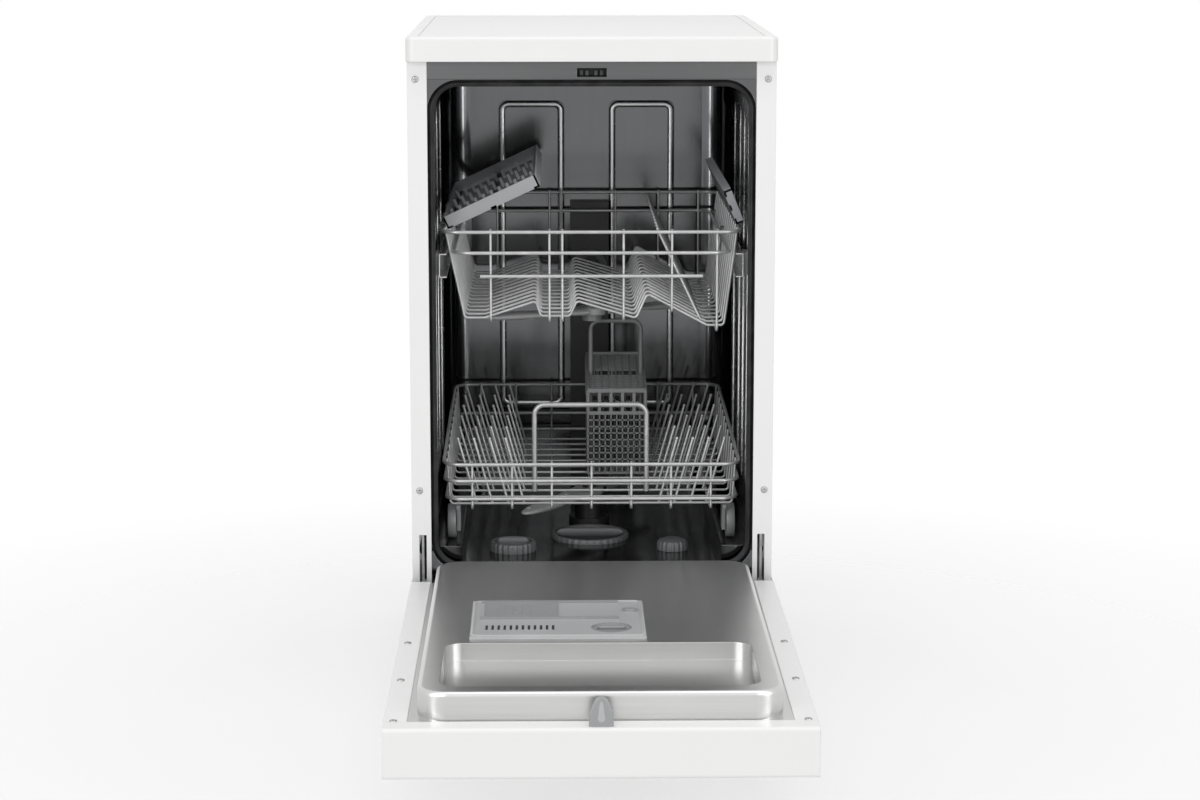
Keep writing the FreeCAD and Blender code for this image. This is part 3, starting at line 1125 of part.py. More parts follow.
# Every piece must come out whole before anything is written.
doc.recompute()
for thing in doc.Objects:
    if "Invalid" in thing.State or "Error" in thing.State:
        raise RuntimeError(f"{thing.Label} failed: {thing.State}")
for piece in nodes:
    if piece.Shape.isNull() or not piece.Shape.isValid():
        raise RuntimeError(f"{piece.Label} has no valid shape")
os.makedirs("parts", exist_ok=True)
for piece in nodes:
    piece.Shape.exportStep(f"parts/{piece.Label}.step")
print(len(nodes), "pieces")
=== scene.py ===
# %% [markdown]
# # A slimline dishwasher with its door open
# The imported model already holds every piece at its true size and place, in metres, with +Z up and the
# machine's front towards -Y. This lesson dresses it: each metal sheet, moulding and wire gets a finish
# made of shader nodes, and the pieces that need finer forms are worked out as surfaces with numpy.

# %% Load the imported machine
import json
import math

import bmesh
import bpy
import numpy as np
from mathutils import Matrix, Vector


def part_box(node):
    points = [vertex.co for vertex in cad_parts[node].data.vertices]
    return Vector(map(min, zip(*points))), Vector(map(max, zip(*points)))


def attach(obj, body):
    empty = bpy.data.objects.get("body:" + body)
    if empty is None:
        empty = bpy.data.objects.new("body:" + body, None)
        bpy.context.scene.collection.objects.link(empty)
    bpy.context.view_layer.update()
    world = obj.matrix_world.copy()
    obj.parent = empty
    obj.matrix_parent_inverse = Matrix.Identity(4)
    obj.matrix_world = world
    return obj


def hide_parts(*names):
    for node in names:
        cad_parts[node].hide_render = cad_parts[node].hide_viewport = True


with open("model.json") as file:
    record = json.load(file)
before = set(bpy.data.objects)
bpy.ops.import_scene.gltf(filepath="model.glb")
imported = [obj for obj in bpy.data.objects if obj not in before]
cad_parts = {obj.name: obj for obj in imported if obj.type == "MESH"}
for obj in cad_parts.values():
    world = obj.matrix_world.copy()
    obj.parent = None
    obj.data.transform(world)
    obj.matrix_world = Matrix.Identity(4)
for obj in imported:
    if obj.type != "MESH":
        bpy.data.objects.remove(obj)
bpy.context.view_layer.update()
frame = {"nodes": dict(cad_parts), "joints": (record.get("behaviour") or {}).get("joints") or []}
print("nodes in the packed model:", len(frame["nodes"]))

# %% [markdown]
# ## Camera
# The camera was fitted to the photograph's corners, with the machine's width and height known. It stands
# three and a half metres in front of the machine's middle, a little above the worktop, and looks down by
# ten degrees. A long lens keeps the sides of the cabinet almost upright.

# %% Camera
EYE = (-0.0499, -3.4452, 1.0265)
PITCH_DOWN = 0.1765
TURN_RIGHT = 0.0171
LENS_MM = 86.2
SENSOR_MM = 36.0

lens = bpy.data.cameras.new("front_view")
lens.lens = LENS_MM
lens.sensor_width = SENSOR_MM
camera = bpy.data.objects.new("front_view", lens)
camera.location = EYE
camera.rotation_euler = (math.pi / 2 - PITCH_DOWN, 0.0, -TURN_RIGHT)
bpy.context.scene.collection.objects.link(camera)
bpy.context.scene.camera = camera
print("camera at", EYE)

# %% [markdown]
# ## Light
# White goods are lit by soft lamps: one in front on each side, low enough to shine into the mouth, and a
# broad one over the machine. Polished steel needs something to mirror, so two tall strips stand in front of
# the mouth. They show only in reflections, where the tub's round corners draw them out into upright
# highlights.

# %% Light
MOUTH = (0.0, 0.2, 0.5)
TUB_BACK = (0.0, 0.5, 0.7)
SOFT_BOX = (1.6, 1.6)
STRIP = (0.16, 1.6)
STRIP_WATTS = 5.0
# Each lamp has its place, the point that it faces, its width and height, and its watts.
LAMPS = {
    "key_left": ((-1.5, -3.2, 1.5), MOUTH, SOFT_BOX, 23.5),
    "fill_right": ((1.7, -3.1, 1.3), MOUTH, SOFT_BOX, 17.5),
    "overhead": ((0.0, -0.7, 3.0), (0.0, -0.1, 0.3), (2.2, 2.2), 18.0),
}
STRIPS = {
    "strip_left": ((-0.8, -1.1, 0.85), TUB_BACK, STRIP, STRIP_WATTS),
    "strip_right": ((0.8, -1.1, 0.85), TUB_BACK, STRIP, STRIP_WATTS),
}


def hang_lamp(name, place, target, size, watts):
    """A soft lamp, so wide and so tall, at one point that faces another."""
    light = bpy.data.lights.new(name, "AREA")
    light.shape = "RECTANGLE"
    light.size, light.size_y = size
    light.energy = watts
    lamp = bpy.data.objects.new(name, light)
    lamp.location = place
    lamp.rotation_euler = (Vector(target) - Vector(place)).to_track_quat("-Z", "Y").to_euler()
    lamp.visible_camera = False
    bpy.context.scene.collection.objects.link(lamp)
    return lamp


for lamp_name, settings in LAMPS.items():
    hang_lamp(lamp_name, *settings)
for strip_name, settings in STRIPS.items():
    hang_lamp(strip_name, *settings).visible_diffuse = False
bpy.context.scene.view_settings.view_transform = "Standard"
print("lamps:", ", ".join([*LAMPS, *STRIPS]))

# %% [markdown]
# ## Writing a finish as a formula
# A shader is a web of small nodes. Wiring it by hand hides the idea, so one small class wraps a node's
# output and lets plain sums stand for Math nodes: `0.3 + 0.1 * grain` adds two nodes.

# %% Sums of fields
class Field:
    """A value that varies over a surface. Sums on it add Math nodes."""

    def __init__(self, web, socket):
        self.web = web
        self.socket = socket

    def sum_node(self, operation, first, second):
        """One Math node that joins two values."""
        return self.web.node("ShaderNodeMath", {"operation": operation}, {0: first, 1: second})

    def __add__(self, other):
        return self.sum_node("ADD", self, other)

    def __mul__(self, other):
        return self.sum_node("MULTIPLY", self, other)

    def __rsub__(self, other):
        return self.sum_node("SUBTRACT", other, self)

    __radd__ = __add__
    __rmul__ = __mul__


print("fields can be added, multiplied and taken from a number")

# %% [markdown]
# A second class holds the web of one material or of the world, and its method `node` adds any other node.

# %% Webs of nodes
class Web:
    """The nodes of one material or world, which all end in its shader."""

    def __init__(self, owner, shader):
        owner.use_nodes = True
        self.tree = owner.node_tree
        self.shader = self.tree.nodes[shader]

    def node(self, kind, settings, inputs, output=0):
        """Add a node, set it up, feed its sockets with numbers or fields, and return one of its outputs."""
        made = self.tree.nodes.new(kind)
        for key, value in settings.items():
            setattr(made, key, value)
        self.feed(made, inputs)
        return Field(self, made.outputs[output])

    def feed(self, made, inputs):
        """Give each named socket a number or a link."""
        for key, value in inputs.items():
            if isinstance(value, Field):
                self.tree.links.new(value.socket, made.inputs[key])
            else:
                made.inputs[key].default_value = value

    def stain(self, field, low, high):
        """A field spread between two levels, cut off below and above."""
        return self.node("ShaderNodeMapRange", {}, {"Value": field, "From Min": low, "From Max": high})

    def surface(self, **sockets):
        """Feed the shader's sockets, named with underscores for spaces."""
        self.feed(self.shader, {key.replace("_", " "): value for key, value in sockets.items()})
        return self


print("any node comes from Web.node")

# %% [markdown]
# Every finish below is mixed from the same few ingredients: cloudy noise, a cell pattern, a tint between a
# darker and a lighter shade of one colour, and a relief that also softens the piece's sharp edges.

# %% Ingredients of a finish
EVEN = (1.0, 1.0, 1.0)
BEVEL_RAYS = 4


def shade(colour, factor):
    """An opaque colour made darker or lighter by one factor."""
    return (*(min(1.0, channel * factor) for channel in colour), 1.0)


class Finish(Web):
    """One material, made of nodes that read the piece's own coordinates in metres."""

    def __init__(self, name):
        self.material = bpy.data.materials.new(name)
        super().__init__(self.material, "Principled BSDF")
        self.place = self.node("ShaderNodeTexCoord", {}, {}, "Object")

    def noise(self, waves, detail, along=EVEN):
        """Cloudy noise with so many waves to the metre, and fewer along an axis whose scale is small."""
        place = self.node("ShaderNodeMapping", {}, {"Vector": self.place, "Scale": along})
        return self.node("ShaderNodeTexNoise", {}, {"Vector": place, "Scale": waves, "Detail": detail})

    def cells(self, waves):
        """The random shade of each cell of a cracked pattern."""
        colour = self.node("ShaderNodeTexVoronoi", {}, {"Vector": self.place, "Scale": waves}, "Color")
        return self.node("ShaderNodeSeparateColor", {}, {"Color": colour}, "Red")

    def tint(self, factor, colour, darkest, lightest):
        """A colour that is darkest where the factor is nought and lightest where it is one."""
        shades = {6: shade(colour, darkest), 7: shade(colour, lightest)}
        return self.node("ShaderNodeMix", {"data_type": "RGBA"}, {0: factor, **shades}, 2)

    def relief(self, height, depth, strength, edge=0.0):
        """A bumped normal from a height field, over edges that are softened by a small radius."""
        inputs = {"Height": height, "Distance": depth, "Strength": strength}
        if edge:
            inputs["Normal"] = self.node("ShaderNodeBevel", {"samples": BEVEL_RAYS}, {"Radius": edge})
        return self.node("ShaderNodeBump", {}, inputs)


print("ingredients: noise, cells, tint, relief")

# %% [markdown]
# ## White enamel and white mouldings
# The cabinet and door are sheet steel under baked enamel: smooth, with a faint orange peel that only shows
# where a lamp mirrors in it. The worktop's surround and the control panel are moulded, so their grain is
# finer and they have no clear coat. Bump from noise gives both, with waves of a millimetre or less.

# %% White finishes
WHITE = (0.875, 0.875, 0.873)
WARM_WHITE = (0.87, 0.87, 0.864)


def enamel(name, colour):
    """Baked enamel: orange peel in the normal, faint clouds in colour and gloss."""
    finish = Finish(name)
    cloud = finish.noise(waves=5.0, detail=4.0)
    peel = finish.noise(waves=700.0, detail=2.0)
    return finish.surface(Base_Color=finish.tint(cloud, colour, darkest=0.985, lightest=1.01),
                          Roughness=0.34 + 0.06 * cloud,
                          Coat_Weight=0.12 - 0.04 * cloud,
                          Normal=finish.relief(peel, depth=0.00012, strength=0.5, edge=0.0009))


def moulding(name, colour, roughness, grain, edge=0.0008, darkest=0.88, lightest=1.1):
    """Moulded plastic: fine pitted grain, slight flow marks and a few dull patches."""
    finish = Finish(name)
    flow = finish.noise(waves=9.0, detail=4.0, along=(1.0, 0.35, 1.0))
    pits = finish.noise(waves=1900.0, detail=2.0)
    speck = finish.cells(waves=2600.0)
    dull = finish.stain(finish.noise(waves=26.0, detail=5.0), low=0.42, high=0.72)
    mottle = 0.55 * flow + 0.25 * speck + 0.2 * dull
    return finish.surface(Base_Color=finish.tint(mottle, colour, darkest, lightest),
                          Roughness=roughness + 0.08 * dull + 0.06 * pits,
                          Normal=finish.relief(pits, depth=grain, strength=0.6, edge=edge))


def laminate(name, colour):
    """Worktop laminate: a fine leathery emboss with a very faint fleck."""
    finish = Finish(name)
    emboss = finish.noise(waves=420.0, detail=3.0)
    fleck = finish.cells(waves=900.0)
    cloud = finish.noise(waves=4.0, detail=4.0)
    mottle = 0.6 * cloud + 0.4 * fleck
    return finish.surface(Base_Color=finish.tint(mottle, colour, darkest=0.96, lightest=1.02),
                          Roughness=0.34 + 0.1 * emboss,
                          Normal=finish.relief(emboss, depth=0.0002, strength=0.6, edge=0.0008))


white_enamel = enamel("white_enamel", WHITE)
white_plastic = moulding("white_plastic", WARM_WHITE, roughness=0.3, grain=5e-5, edge=0.0012,
                         darkest=0.985, lightest=1.01)
white_laminate = laminate("white_laminate", WHITE)
print("white finishes: enamel, moulding, laminate")

# %% [markdown]
# ## Steel
# The tub and the door's inside are stainless sheet. Rolling leaves fine straight scratches, so noise is
# stretched along one axis: it varies slowly along the grain and quickly across it. The scratches move the
# roughness and the normal a little, slow waves in thin sheet bend what it mirrors, and drops of hard water
# leave dull spots. Zinc on the back panel and the hinges grows in crystals, which a cell pattern gives.

# %% Steel finishes
UPRIGHT = (1.0, 1.0, 0.02)
CROSSWISE = (0.02, 1.0, 1.0)
LENGTHWISE = (1.0, 0.02, 1.0)


def stainless(name, colour, along, roughness, scratch, ripple=0.0):
    """Rolled stainless: stretched noise along the grain, clouds of polish, slow ripples, dried drops."""
    finish = Finish(name)
    grain = finish.noise(waves=420.0, detail=3.0, along=along)
    cloud = finish.noise(waves=6.0, detail=4.0)
    drops = finish.stain(finish.noise(waves=95.0, detail=2.0), low=0.66, high=0.72)
    height = grain + (ripple / scratch) * finish.noise(waves=4.0, detail=1.0)
    polish = 0.5 * grain + 0.5 * cloud
    return finish.surface(Base_Color=finish.tint(polish, colour, darkest=0.86, lightest=1.12),
                          Metallic=1.0,
                          Roughness=roughness + 0.06 * grain + 0.05 * cloud + 0.05 * drops,
                          Normal=finish.relief(height, depth=scratch, strength=0.5, edge=0.0012))


def zinc_sheet(name, colour):
    """Galvanised sheet: crystals that differ in shade and gloss."""
    finish = Finish(name)
    crystal = finish.cells(waves=110.0)
    haze = finish.noise(waves=18.0, detail=4.0)
    bloom = 0.6 * crystal + 0.4 * haze
    return finish.surface(Base_Color=finish.tint(bloom, colour, darkest=0.82, lightest=1.18),
                          Metallic=1.0,
                          Roughness=0.38 + 0.14 * crystal + 0.08 * haze,
                          Normal=finish.relief(crystal, depth=4e-5, strength=0.4, edge=0.0006))


# The tub is the same stainless as the pan, but its colour is made far darker, as painted shade for the dim
# inside of the deep tub.
tub_steel = stainless("tub_steel", (0.135, 0.137, 0.14), UPRIGHT, roughness=0.07, scratch=2e-5, ripple=0.003)
# The ribs and beads are pressed from the tub's own sheet; their much lighter colour is a painted highlight.
rib_steel = stainless("rib_steel", (0.55, 0.552, 0.555), UPRIGHT, roughness=0.2, scratch=2e-5)
# The strip's dark colour is partly its own grey and partly painted shade, because the strip lies in shadow
# under the worktop.
strip_steel = stainless("strip_steel", (0.12, 0.121, 0.123), CROSSWISE, roughness=0.26, scratch=3e-5)
pan_steel = stainless("pan_steel", (0.6, 0.6, 0.595), CROSSWISE, roughness=0.25, scratch=4e-5, ripple=0.001)
slide_steel = stainless("slide_steel", (0.66, 0.66, 0.66), LENGTHWISE, roughness=0.2, scratch=3e-5)
screw_steel = stainless("screw_steel", (0.4, 0.4, 0.4), EVEN, roughness=0.34, scratch=2e-5)
zinc = zinc_sheet("zinc_sheet", (0.3, 0.305, 0.31))
print("steel finishes: tub, rib, strip, pan, slide, screw, zinc")

# %% [markdown]
# ## Wire coat, rubber, and grey mouldings
# The rack wires wear a dipped nylon coat, thick enough to look soft, with water marks that dull it. The
# gasket is black rubber with a dusting of lime, and the window over the lights is smoked and glossy. The
# grey mouldings differ mainly in shade, so one function makes them all.

# %% Wire, rubber and grey finishes
def dipped_wire(name, colour):
    """Nylon on wire: soft lumps from the dip, with pale dried water in patches."""
    finish = Finish(name)
    lump = finish.noise(waves=160.0, detail=2.0)
    lime = finish.stain(finish.noise(waves=70.0, detail=5.0), low=0.5, high=0.75)
    tone = finish.noise(waves=22.0, detail=3.0)
    mottle = 0.5 * tone + 0.5 * lime
    return finish.surface(Base_Color=finish.tint(mottle, colour, darkest=0.86, lightest=1.22),
                          Roughness=0.26 + 0.2 * lime + 0.06 * tone,
                          Coat_Weight=0.35 - 0.25 * lime,
                          Metallic=0.35,
                          Normal=finish.relief(lump, depth=0.0003, strength=0.4))


def black_rubber(name, colour):
    """Rubber: matt, with fine pores and a thin bloom of lime."""
    finish = Finish(name)
    pores = finish.noise(waves=1300.0, detail=3.0)
    bloom = finish.stain(finish.noise(waves=40.0, detail=5.0), low=0.45, high=0.8)
    return finish.surface(Base_Color=finish.tint(bloom, colour, darkest=1.0, lightest=2.6),
                          Roughness=0.5 + 0.18 * bloom,
                          Normal=finish.relief(pores, depth=8e-5, strength=0.6, edge=0.0006))


def smoked_clear(name, colour):
    """Smoked clear plastic: deep gloss with hairline scratches."""
    finish = Finish(name)
    hair = finish.noise(waves=260.0, detail=2.0, along=(0.05, 1.0, 1.0))
    return finish.surface(Base_Color=finish.tint(hair, colour, darkest=0.8, lightest=1.3),
                          Roughness=0.05 + 0.08 * hair,
                          Coat_Weight=0.6 + 0.2 * hair,
                          Normal=finish.relief(hair, depth=1e-5, strength=0.3, edge=0.0004))


wire_coat = dipped_wire("wire_coat", (0.52, 0.522, 0.525))
seal_rubber = black_rubber("seal_rubber", (0.018, 0.018, 0.019))
black_plastic = moulding("black_plastic", (0.02, 0.02, 0.022), roughness=0.38, grain=5e-5)
grey_plastic = moulding("grey_plastic", (0.27, 0.275, 0.28), roughness=0.36, grain=6e-5)
dark_grey_plastic = moulding("dark_grey_plastic", (0.13, 0.133, 0.137), roughness=0.38, grain=6e-5)
basket_plastic = moulding("basket_plastic", (0.25, 0.253, 0.257), roughness=0.36, grain=6e-5)
shelf_plastic = moulding("shelf_plastic", (0.37, 0.38, 0.395), roughness=0.34, grain=6e-5)
lid_plastic = moulding("lid_plastic", (0.33, 0.335, 0.34), roughness=0.3, grain=5e-5)
light_grey_plastic = moulding("light_grey_plastic", (0.46, 0.465, 0.47), roughness=0.32, grain=5e-5)
window_plastic = smoked_clear("window_plastic", (0.03, 0.032, 0.035))
print("wire, rubber and grey finishes ready")

# %% [markdown]
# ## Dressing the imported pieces
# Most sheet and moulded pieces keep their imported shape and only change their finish. The table says which
# piece wears which.

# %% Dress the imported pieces
DRESS = {
    white_enamel: ["side_panel_left", "side_panel_right", "plinth", "door_outer_skin"],
    white_plastic: ["worktop_surround", "control_panel", "control_end_caps"],
    white_laminate: ["worktop_panel"],
    tub_steel: ["tub_shell"],
    pan_steel: ["door_inner_pan"],
    slide_steel: ["upper_slides"],
    strip_steel: ["front_crossmember"],
    zinc: ["back_panel", "hinge_brackets", "hinge_arms"],
    wire_coat: ["upper_rack_frame", "upper_rack_floor", "lower_rack_frame", "lower_rack_floor"],
    black_plastic: ["latch_housing", "spray_conduit", "control_board", "sump", "heating_pump", "drain_pump",
                    "drain_outlet", "terminal_box"],
    grey_plastic: ["handle_cup", "roller_carriers", "wheel_carriers", "upper_spray_feed"],
    dark_grey_plastic: ["base_tray"],
    light_grey_plastic: ["dispenser_body", "slide_guides", "softener_tank", "inlet_valve"],
    window_plastic: ["indicator_window"],
}


def wear(thing, finish):
    """Give every face of a piece one finish."""
    thing.data.materials.clear()
    thing.data.materials.append(finish.material)
    thing.data.polygons.foreach_set("material_index", np.zeros(len(thing.data.polygons), np.int32))


for finish, node_names in DRESS.items():
    for node_name in node_names:
        wear(frame["nodes"][node_name], finish)
print("dressed:", sum(len(names) for names in DRESS.values()), "pieces")

# %% [markdown]
# ## Surfaces from formulas
# A new piece is a grid of points worked out in one go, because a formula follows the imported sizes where
# points placed by hand would not. Three formulas cover nearly all pieces: a profile turned about an axis, a
# profile carried along a path, and rows of small bars. Each gives a patch of points and four-sided faces.

# %% Patches of points
RIGHT, BACK, UP = np.eye(3)


def points_of(x, y, z):
    """Points from three coordinates that are spread over one grid."""
    return np.stack(np.broadcast_arrays(x, y, z), axis=-1)


def patch(points, round_first=False, round_second=False):
    """Points and faces of a grid. Neighbours both ways span a face, also over the seam if round."""
    rows, columns = points.shape[:2]
    index = np.arange(rows * columns).reshape(rows, columns)
    if round_first:
        index = np.vstack([index, index[:1]])
    if round_second:
        index = np.hstack([index, index[:, :1]])
    faces = np.stack([index[:-1, :-1], index[1:, :-1], index[1:, 1:], index[:-1, 1:]], axis=-1)
    return points.reshape(-1, 3), faces.reshape(-1, 4)


def mirrored(patches):
    """The same patches on the other side of the machine."""
    return [(points * (-1.0, 1.0, 1.0), faces) for points, faces in patches]


def corners_of(node):
    """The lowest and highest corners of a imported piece, as arrays."""
    low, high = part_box(node)
    return np.array(low), np.array(high)


def middle_of(node):
    """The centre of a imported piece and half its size, as arrays."""
    low, high = corners_of(node)
    return (low + high) / 2, (high - low) / 2


print("half the tub's size:", np.round(middle_of("tub_shell")[1], 3))

# %% [markdown]
# One function joins patches into a mesh, closes the seams between them, turns the faces outwards and lets
# the piece ride on its body.

# %% Joining patches into a piece
CREASE_DEGREES = 35.0
MERGE_GAP, LEAST_EDGE = 1e-6, 1e-7


def make_piece(name, patches, finish, body, stands_for=()):
    """Join patches into one mesh, close its seams, turn its faces outwards, and let it ride on a body."""
    counts = np.cumsum([0] + [len(points) for points, _ in patches])
    points = np.vstack([points for points, _ in patches])
    faces = np.vstack([faces + start for (_, faces), start in zip(patches, counts)])
    mesh = bpy.data.meshes.new(name)
    mesh.from_pydata(points.tolist(), [], faces.tolist())
    sculpt = bmesh.new()
    sculpt.from_mesh(mesh)
    bmesh.ops.remove_doubles(sculpt, verts=sculpt.verts, dist=MERGE_GAP)
    bmesh.ops.dissolve_degenerate(sculpt, edges=sculpt.edges, dist=LEAST_EDGE)
    bmesh.ops.recalc_face_normals(sculpt, faces=sculpt.faces)
    sculpt.to_mesh(mesh)
    sculpt.free()
    mesh.polygons.foreach_set("use_smooth", np.ones(len(mesh.polygons), bool))
    mesh.set_sharp_from_angle(angle=math.radians(CREASE_DEGREES))
    piece = bpy.data.objects.new(name, mesh)
    bpy.context.scene.collection.objects.link(piece)
    wear(piece, finish)
    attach(piece, body)
    if stands_for:
        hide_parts(*stands_for)
    print(name, "faces:", len(mesh.polygons))
    return piece


print("edges sharper than", CREASE_DEGREES, "degrees stay sharp")

# %% [markdown]
# ## Door seal
# The gasket is one extruded rubber section bent round the mouth, with a lobe that the door squeezes. A bent
# extrusion is a section carried along a path, so that is how it is made: the path is a rectangle with round
# corners.

# %% Profiles carried along a path
def round_angles(count):
    """Angles evenly spaced once round."""
    return np.linspace(0.0, 2 * np.pi, count, endpoint=False)


def unit(vectors):
    """The same directions with a length of one."""
    return vectors / np.linalg.norm(vectors, axis=-1, keepdims=True)


def carried(path, profile, up, closed=False, scale=1.0):
    """A profile (across, above) carried along a path: each section stands square to the path's direction."""
    if closed:
        ahead = unit(np.roll(path, -1, axis=0) - np.roll(path, 1, axis=0))
    else:
        ahead = unit(np.gradient(path, axis=0))
    across = unit(np.cross(ahead, up))
    above = np.cross(across, ahead)
    reach = profile[:, :1] * across[:, None] + profile[:, 1:] * above[:, None]
    return patch(path[:, None] + np.reshape(scale, (-1, 1, 1)) * reach, closed, True)


def rounded_loop(half_a, half_b, corner, steps=10):
    """A rectangle with round corners, as points (a, b) that go once round, anticlockwise."""
    angle = np.arange(4)[:, None] * np.pi / 2 + np.linspace(0.0, np.pi / 2, steps)
    sign_a = np.array([1, -1, -1, 1])[:, None]
    sign_b = np.array([1, 1, -1, -1])[:, None]
    a = sign_a * (half_a - corner) + corner * np.cos(angle)
    b = sign_b * (half_b - corner) + corner * np.sin(angle)
    return np.stack([a.ravel(), b.ravel()], axis=1)


print("points of a rounded loop:", len(rounded_loop(1.0, 1.0, 0.1)))

# %% Door seal
SEAL_BAND = 0.0041
SEAL_CORNER = 0.0377
SEAL_WAIST, SEAL_SHOULDER = 0.18, 0.14
CORNER_STEPS = 14
seal_middle, seal_half = middle_of("door_seal")
lobe = round_angles(28)
seal_across = SEAL_BAND * np.cos(lobe) * (1 - SEAL_WAIST + SEAL_WAIST * np.cos(2 * lobe))
seal_above = seal_half[1] * np.sin(lobe) * (1 - SEAL_SHOULDER + SEAL_SHOULDER * np.cos(4 * lobe))
seal_section = np.stack([seal_across, seal_above], axis=1)
seal_loop = rounded_loop(*(seal_half[[0, 2]] - SEAL_BAND), SEAL_CORNER - SEAL_BAND, CORNER_STEPS)
seal_path = np.insert(seal_loop, 1, 0.0, axis=1) + seal_middle
make_piece("gasket", [carried(seal_path, seal_section, BACK, closed=True)], seal_rubber, "cabinet",
           ["door_seal"])

# %% [markdown]
# ## Spray arms
# Each arm is two blades welded from thin shells: wide at the hub, narrow at the tip, and flat like a wing.
# A blade is an oval section whose width and height change along its length, and it closes in a round tip.
# Low nozzles stand on top, where the water leaves. They and the hub are turned.

# %% Turned profiles
def turned(profile, origin, axis, sides):
    """A profile of (radius, height) turned about an axis: centre + radius * (cos, sin) + height * axis."""
    side = unit(np.cross(axis, UP if abs(axis[2]) < 0.5 else RIGHT))
    other = np.cross(axis, side)
    angle = round_angles(sides)[:, None, None]
    radius, height = np.asarray(profile, float).T[:, None, :, None]
    ring = np.cos(angle) * side + np.sin(angle) * other
    return patch(origin + radius * ring + height * axis, round_first=True)


def raised(places, height):
    """The same places at another height."""
    lifted = np.array(places, float)
    lifted[..., 2] = height
    return lifted


def squared(wave, power):
    """A sine or cosine drawn towards a square wave, sign * size to a power, which makes an oval boxy."""
    return np.sign(wave) * np.abs(wave) ** power


print("faces of a turned ring:", len(turned([(1.0, 0.0), (1.0, 1.0)], (0.0, 0.0, 0.0), UP, sides=40)[1]))

# %% Spray arms
ARM_ROOT, ARM_TIP = 0.021, 0.0125
ARM_HUB, ARM_BORE = 0.0185, 0.0091
BLADE_START, BLADE_SHARE, BLADE_STATIONS = 0.0135, 0.965, 36
BLADE_WAVE = 0.18
NOZZLE_SHARES = np.linspace(0.32, 0.88, 5)
NOZZLE_STAGGER = 0.004 * np.array([-1, 1, -1, 1, -1])
NOZZLE_PROFILE = [(0.0, 0.004), (0.0014, 0.0041), (0.0016, 0.0047), (0.0034, 0.0048), (0.0042, 0.003)]
joints = {joint["name"]: joint for joint in frame["joints"]}


def arm_blade(reach, half_thick, heading, side):
    """Half an arm: an oval at each station, narrowing along the blade, with a round tip by a square root."""
    share = (1 - (1 - np.linspace(0.0, 1.0, BLADE_STATIONS)) ** 2)[:, None, None]
    tip = np.sqrt(1 - share ** 9)
    run = BLADE_START + (reach - BLADE_START) * share
    wide = (ARM_ROOT + (ARM_TIP - ARM_ROOT) * share ** 0.8) * tip
    tall = half_thick * (1 - BLADE_WAVE + BLADE_WAVE * np.cos(3 * np.pi * share)) * tip ** 0.6
    angle = round_angles(28)[:, None]
    across = wide * squared(np.cos(angle), 0.6)
    above = tall * squared(np.sin(angle), 0.8)
    return run * heading + across * side + above * UP


def spray_arm(name, node, spin, degrees):
    """Two blades, a hub ring and two rows of nozzles about one upright axis."""
    box_middle, (half_x, half_y, half) = middle_of(node)
    middle = raised(joints[spin]["pos_m"], box_middle[2])
    reach = BLADE_SHARE * np.hypot(half_x, half_y)
    turn = math.radians(degrees)
    heading = np.array([math.cos(turn), math.sin(turn), 0.0])
    side = np.cross(UP, heading)
    nozzle_feet = np.outer(reach * NOZZLE_SHARES, heading) + np.outer(NOZZLE_STAGGER, side)
    patches = []
    for way in (1.0, -1.0):
        patches.append(patch(middle + arm_blade(reach, half, way * heading, way * side), round_second=True))
        patches += [turned(NOZZLE_PROFILE, middle + way * foot, UP, sides=16) for foot in nozzle_feet]
    hub = [(ARM_BORE, -half), (ARM_HUB, -half), (ARM_HUB + 0.0012, -half + 0.0015),
           (ARM_HUB + 0.0012, half - 0.0015), (ARM_HUB, half), (ARM_HUB - 0.003, half),
           (ARM_HUB - 0.0042, half - 0.0012), (ARM_BORE + 0.002, half - 0.0012),
           (ARM_BORE, half - 0.0006), (ARM_BORE, -half)]
    patches.append(turned(hub, middle, UP, sides=48))
    make_piece(name, patches, light_grey_plastic, node, [node])


spray_arm("upper_wash_arm", "upper_spray_arm", "upper_spray_spin", 25)
spray_arm("lower_wash_arm", "lower_spray_arm", "lower_spray_spin", 60)

# %% [markdown]
# ## Wheels and rollers
# A rack wheel is a moulded disc: a thick rim, a thin web with ribs, and a hub. All three come from one
# turned profile whose web grows where a rib stands, so the thickness is a function of radius and angle.

# %% Wheels and rollers
WEB, RIM, TREAD = 0.32, 0.96, 0.8
WEB_SHARE, RIM_SHARE = 0.55, 0.8
HUB_WALL, STEP = 0.0018, 0.0006
RIB_GAIN, RIB_STEEP, RIB_CUT = 0.42, 6.0, 4.4
WHEEL = dict(bore=0.0041, ribs=5, wide=0.011)
ROLLER = dict(bore=0.0031, ribs=4, wide=0.0066)


def ramp(value):
    """A value cut off at nought and at one."""
    return np.clip(value, 0.0, 1.0)


def ribbed_wheel(origin, radius, bore, wide, ribs):
    """A wheel about X: half its width is full at rim and hub, and thin between except along the ribs."""
    hub, rim = bore + HUB_WALL, RIM_SHARE * radius
    radii = np.array([bore, bore, hub, hub + STEP, WEB_SHARE * radius, rim - STEP, rim, radius - STEP,
                      radius])
    full = np.array([0.0, 1.0, 1.0, WEB, WEB, WEB, RIM, RIM, TREAD])
    angle = round_angles(96)[:, None]
    rib = ramp(RIB_STEEP * np.cos(ribs * angle) - RIB_CUT)
    half = wide / 2 * (full + RIB_GAIN * rib * (full == WEB))
    outer = points_of(half, radii * np.cos(angle), radii * np.sin(angle))
    inner = outer[:, ::-1] * (-1.0, 1.0, 1.0)
    return patch(origin + np.concatenate([outer, inner], axis=1), True, True)


def wheel_pair(name, node, bore, ribs, wide):
    """Both wheels of one axle line."""
    middle, half = middle_of(node)
    place = middle + (half[0] - wide / 2) * RIGHT
    wheel = [ribbed_wheel(place, half[2], bore, wide, ribs)]
    make_piece(name, wheel + mirrored(wheel), grey_plastic, node, [node])


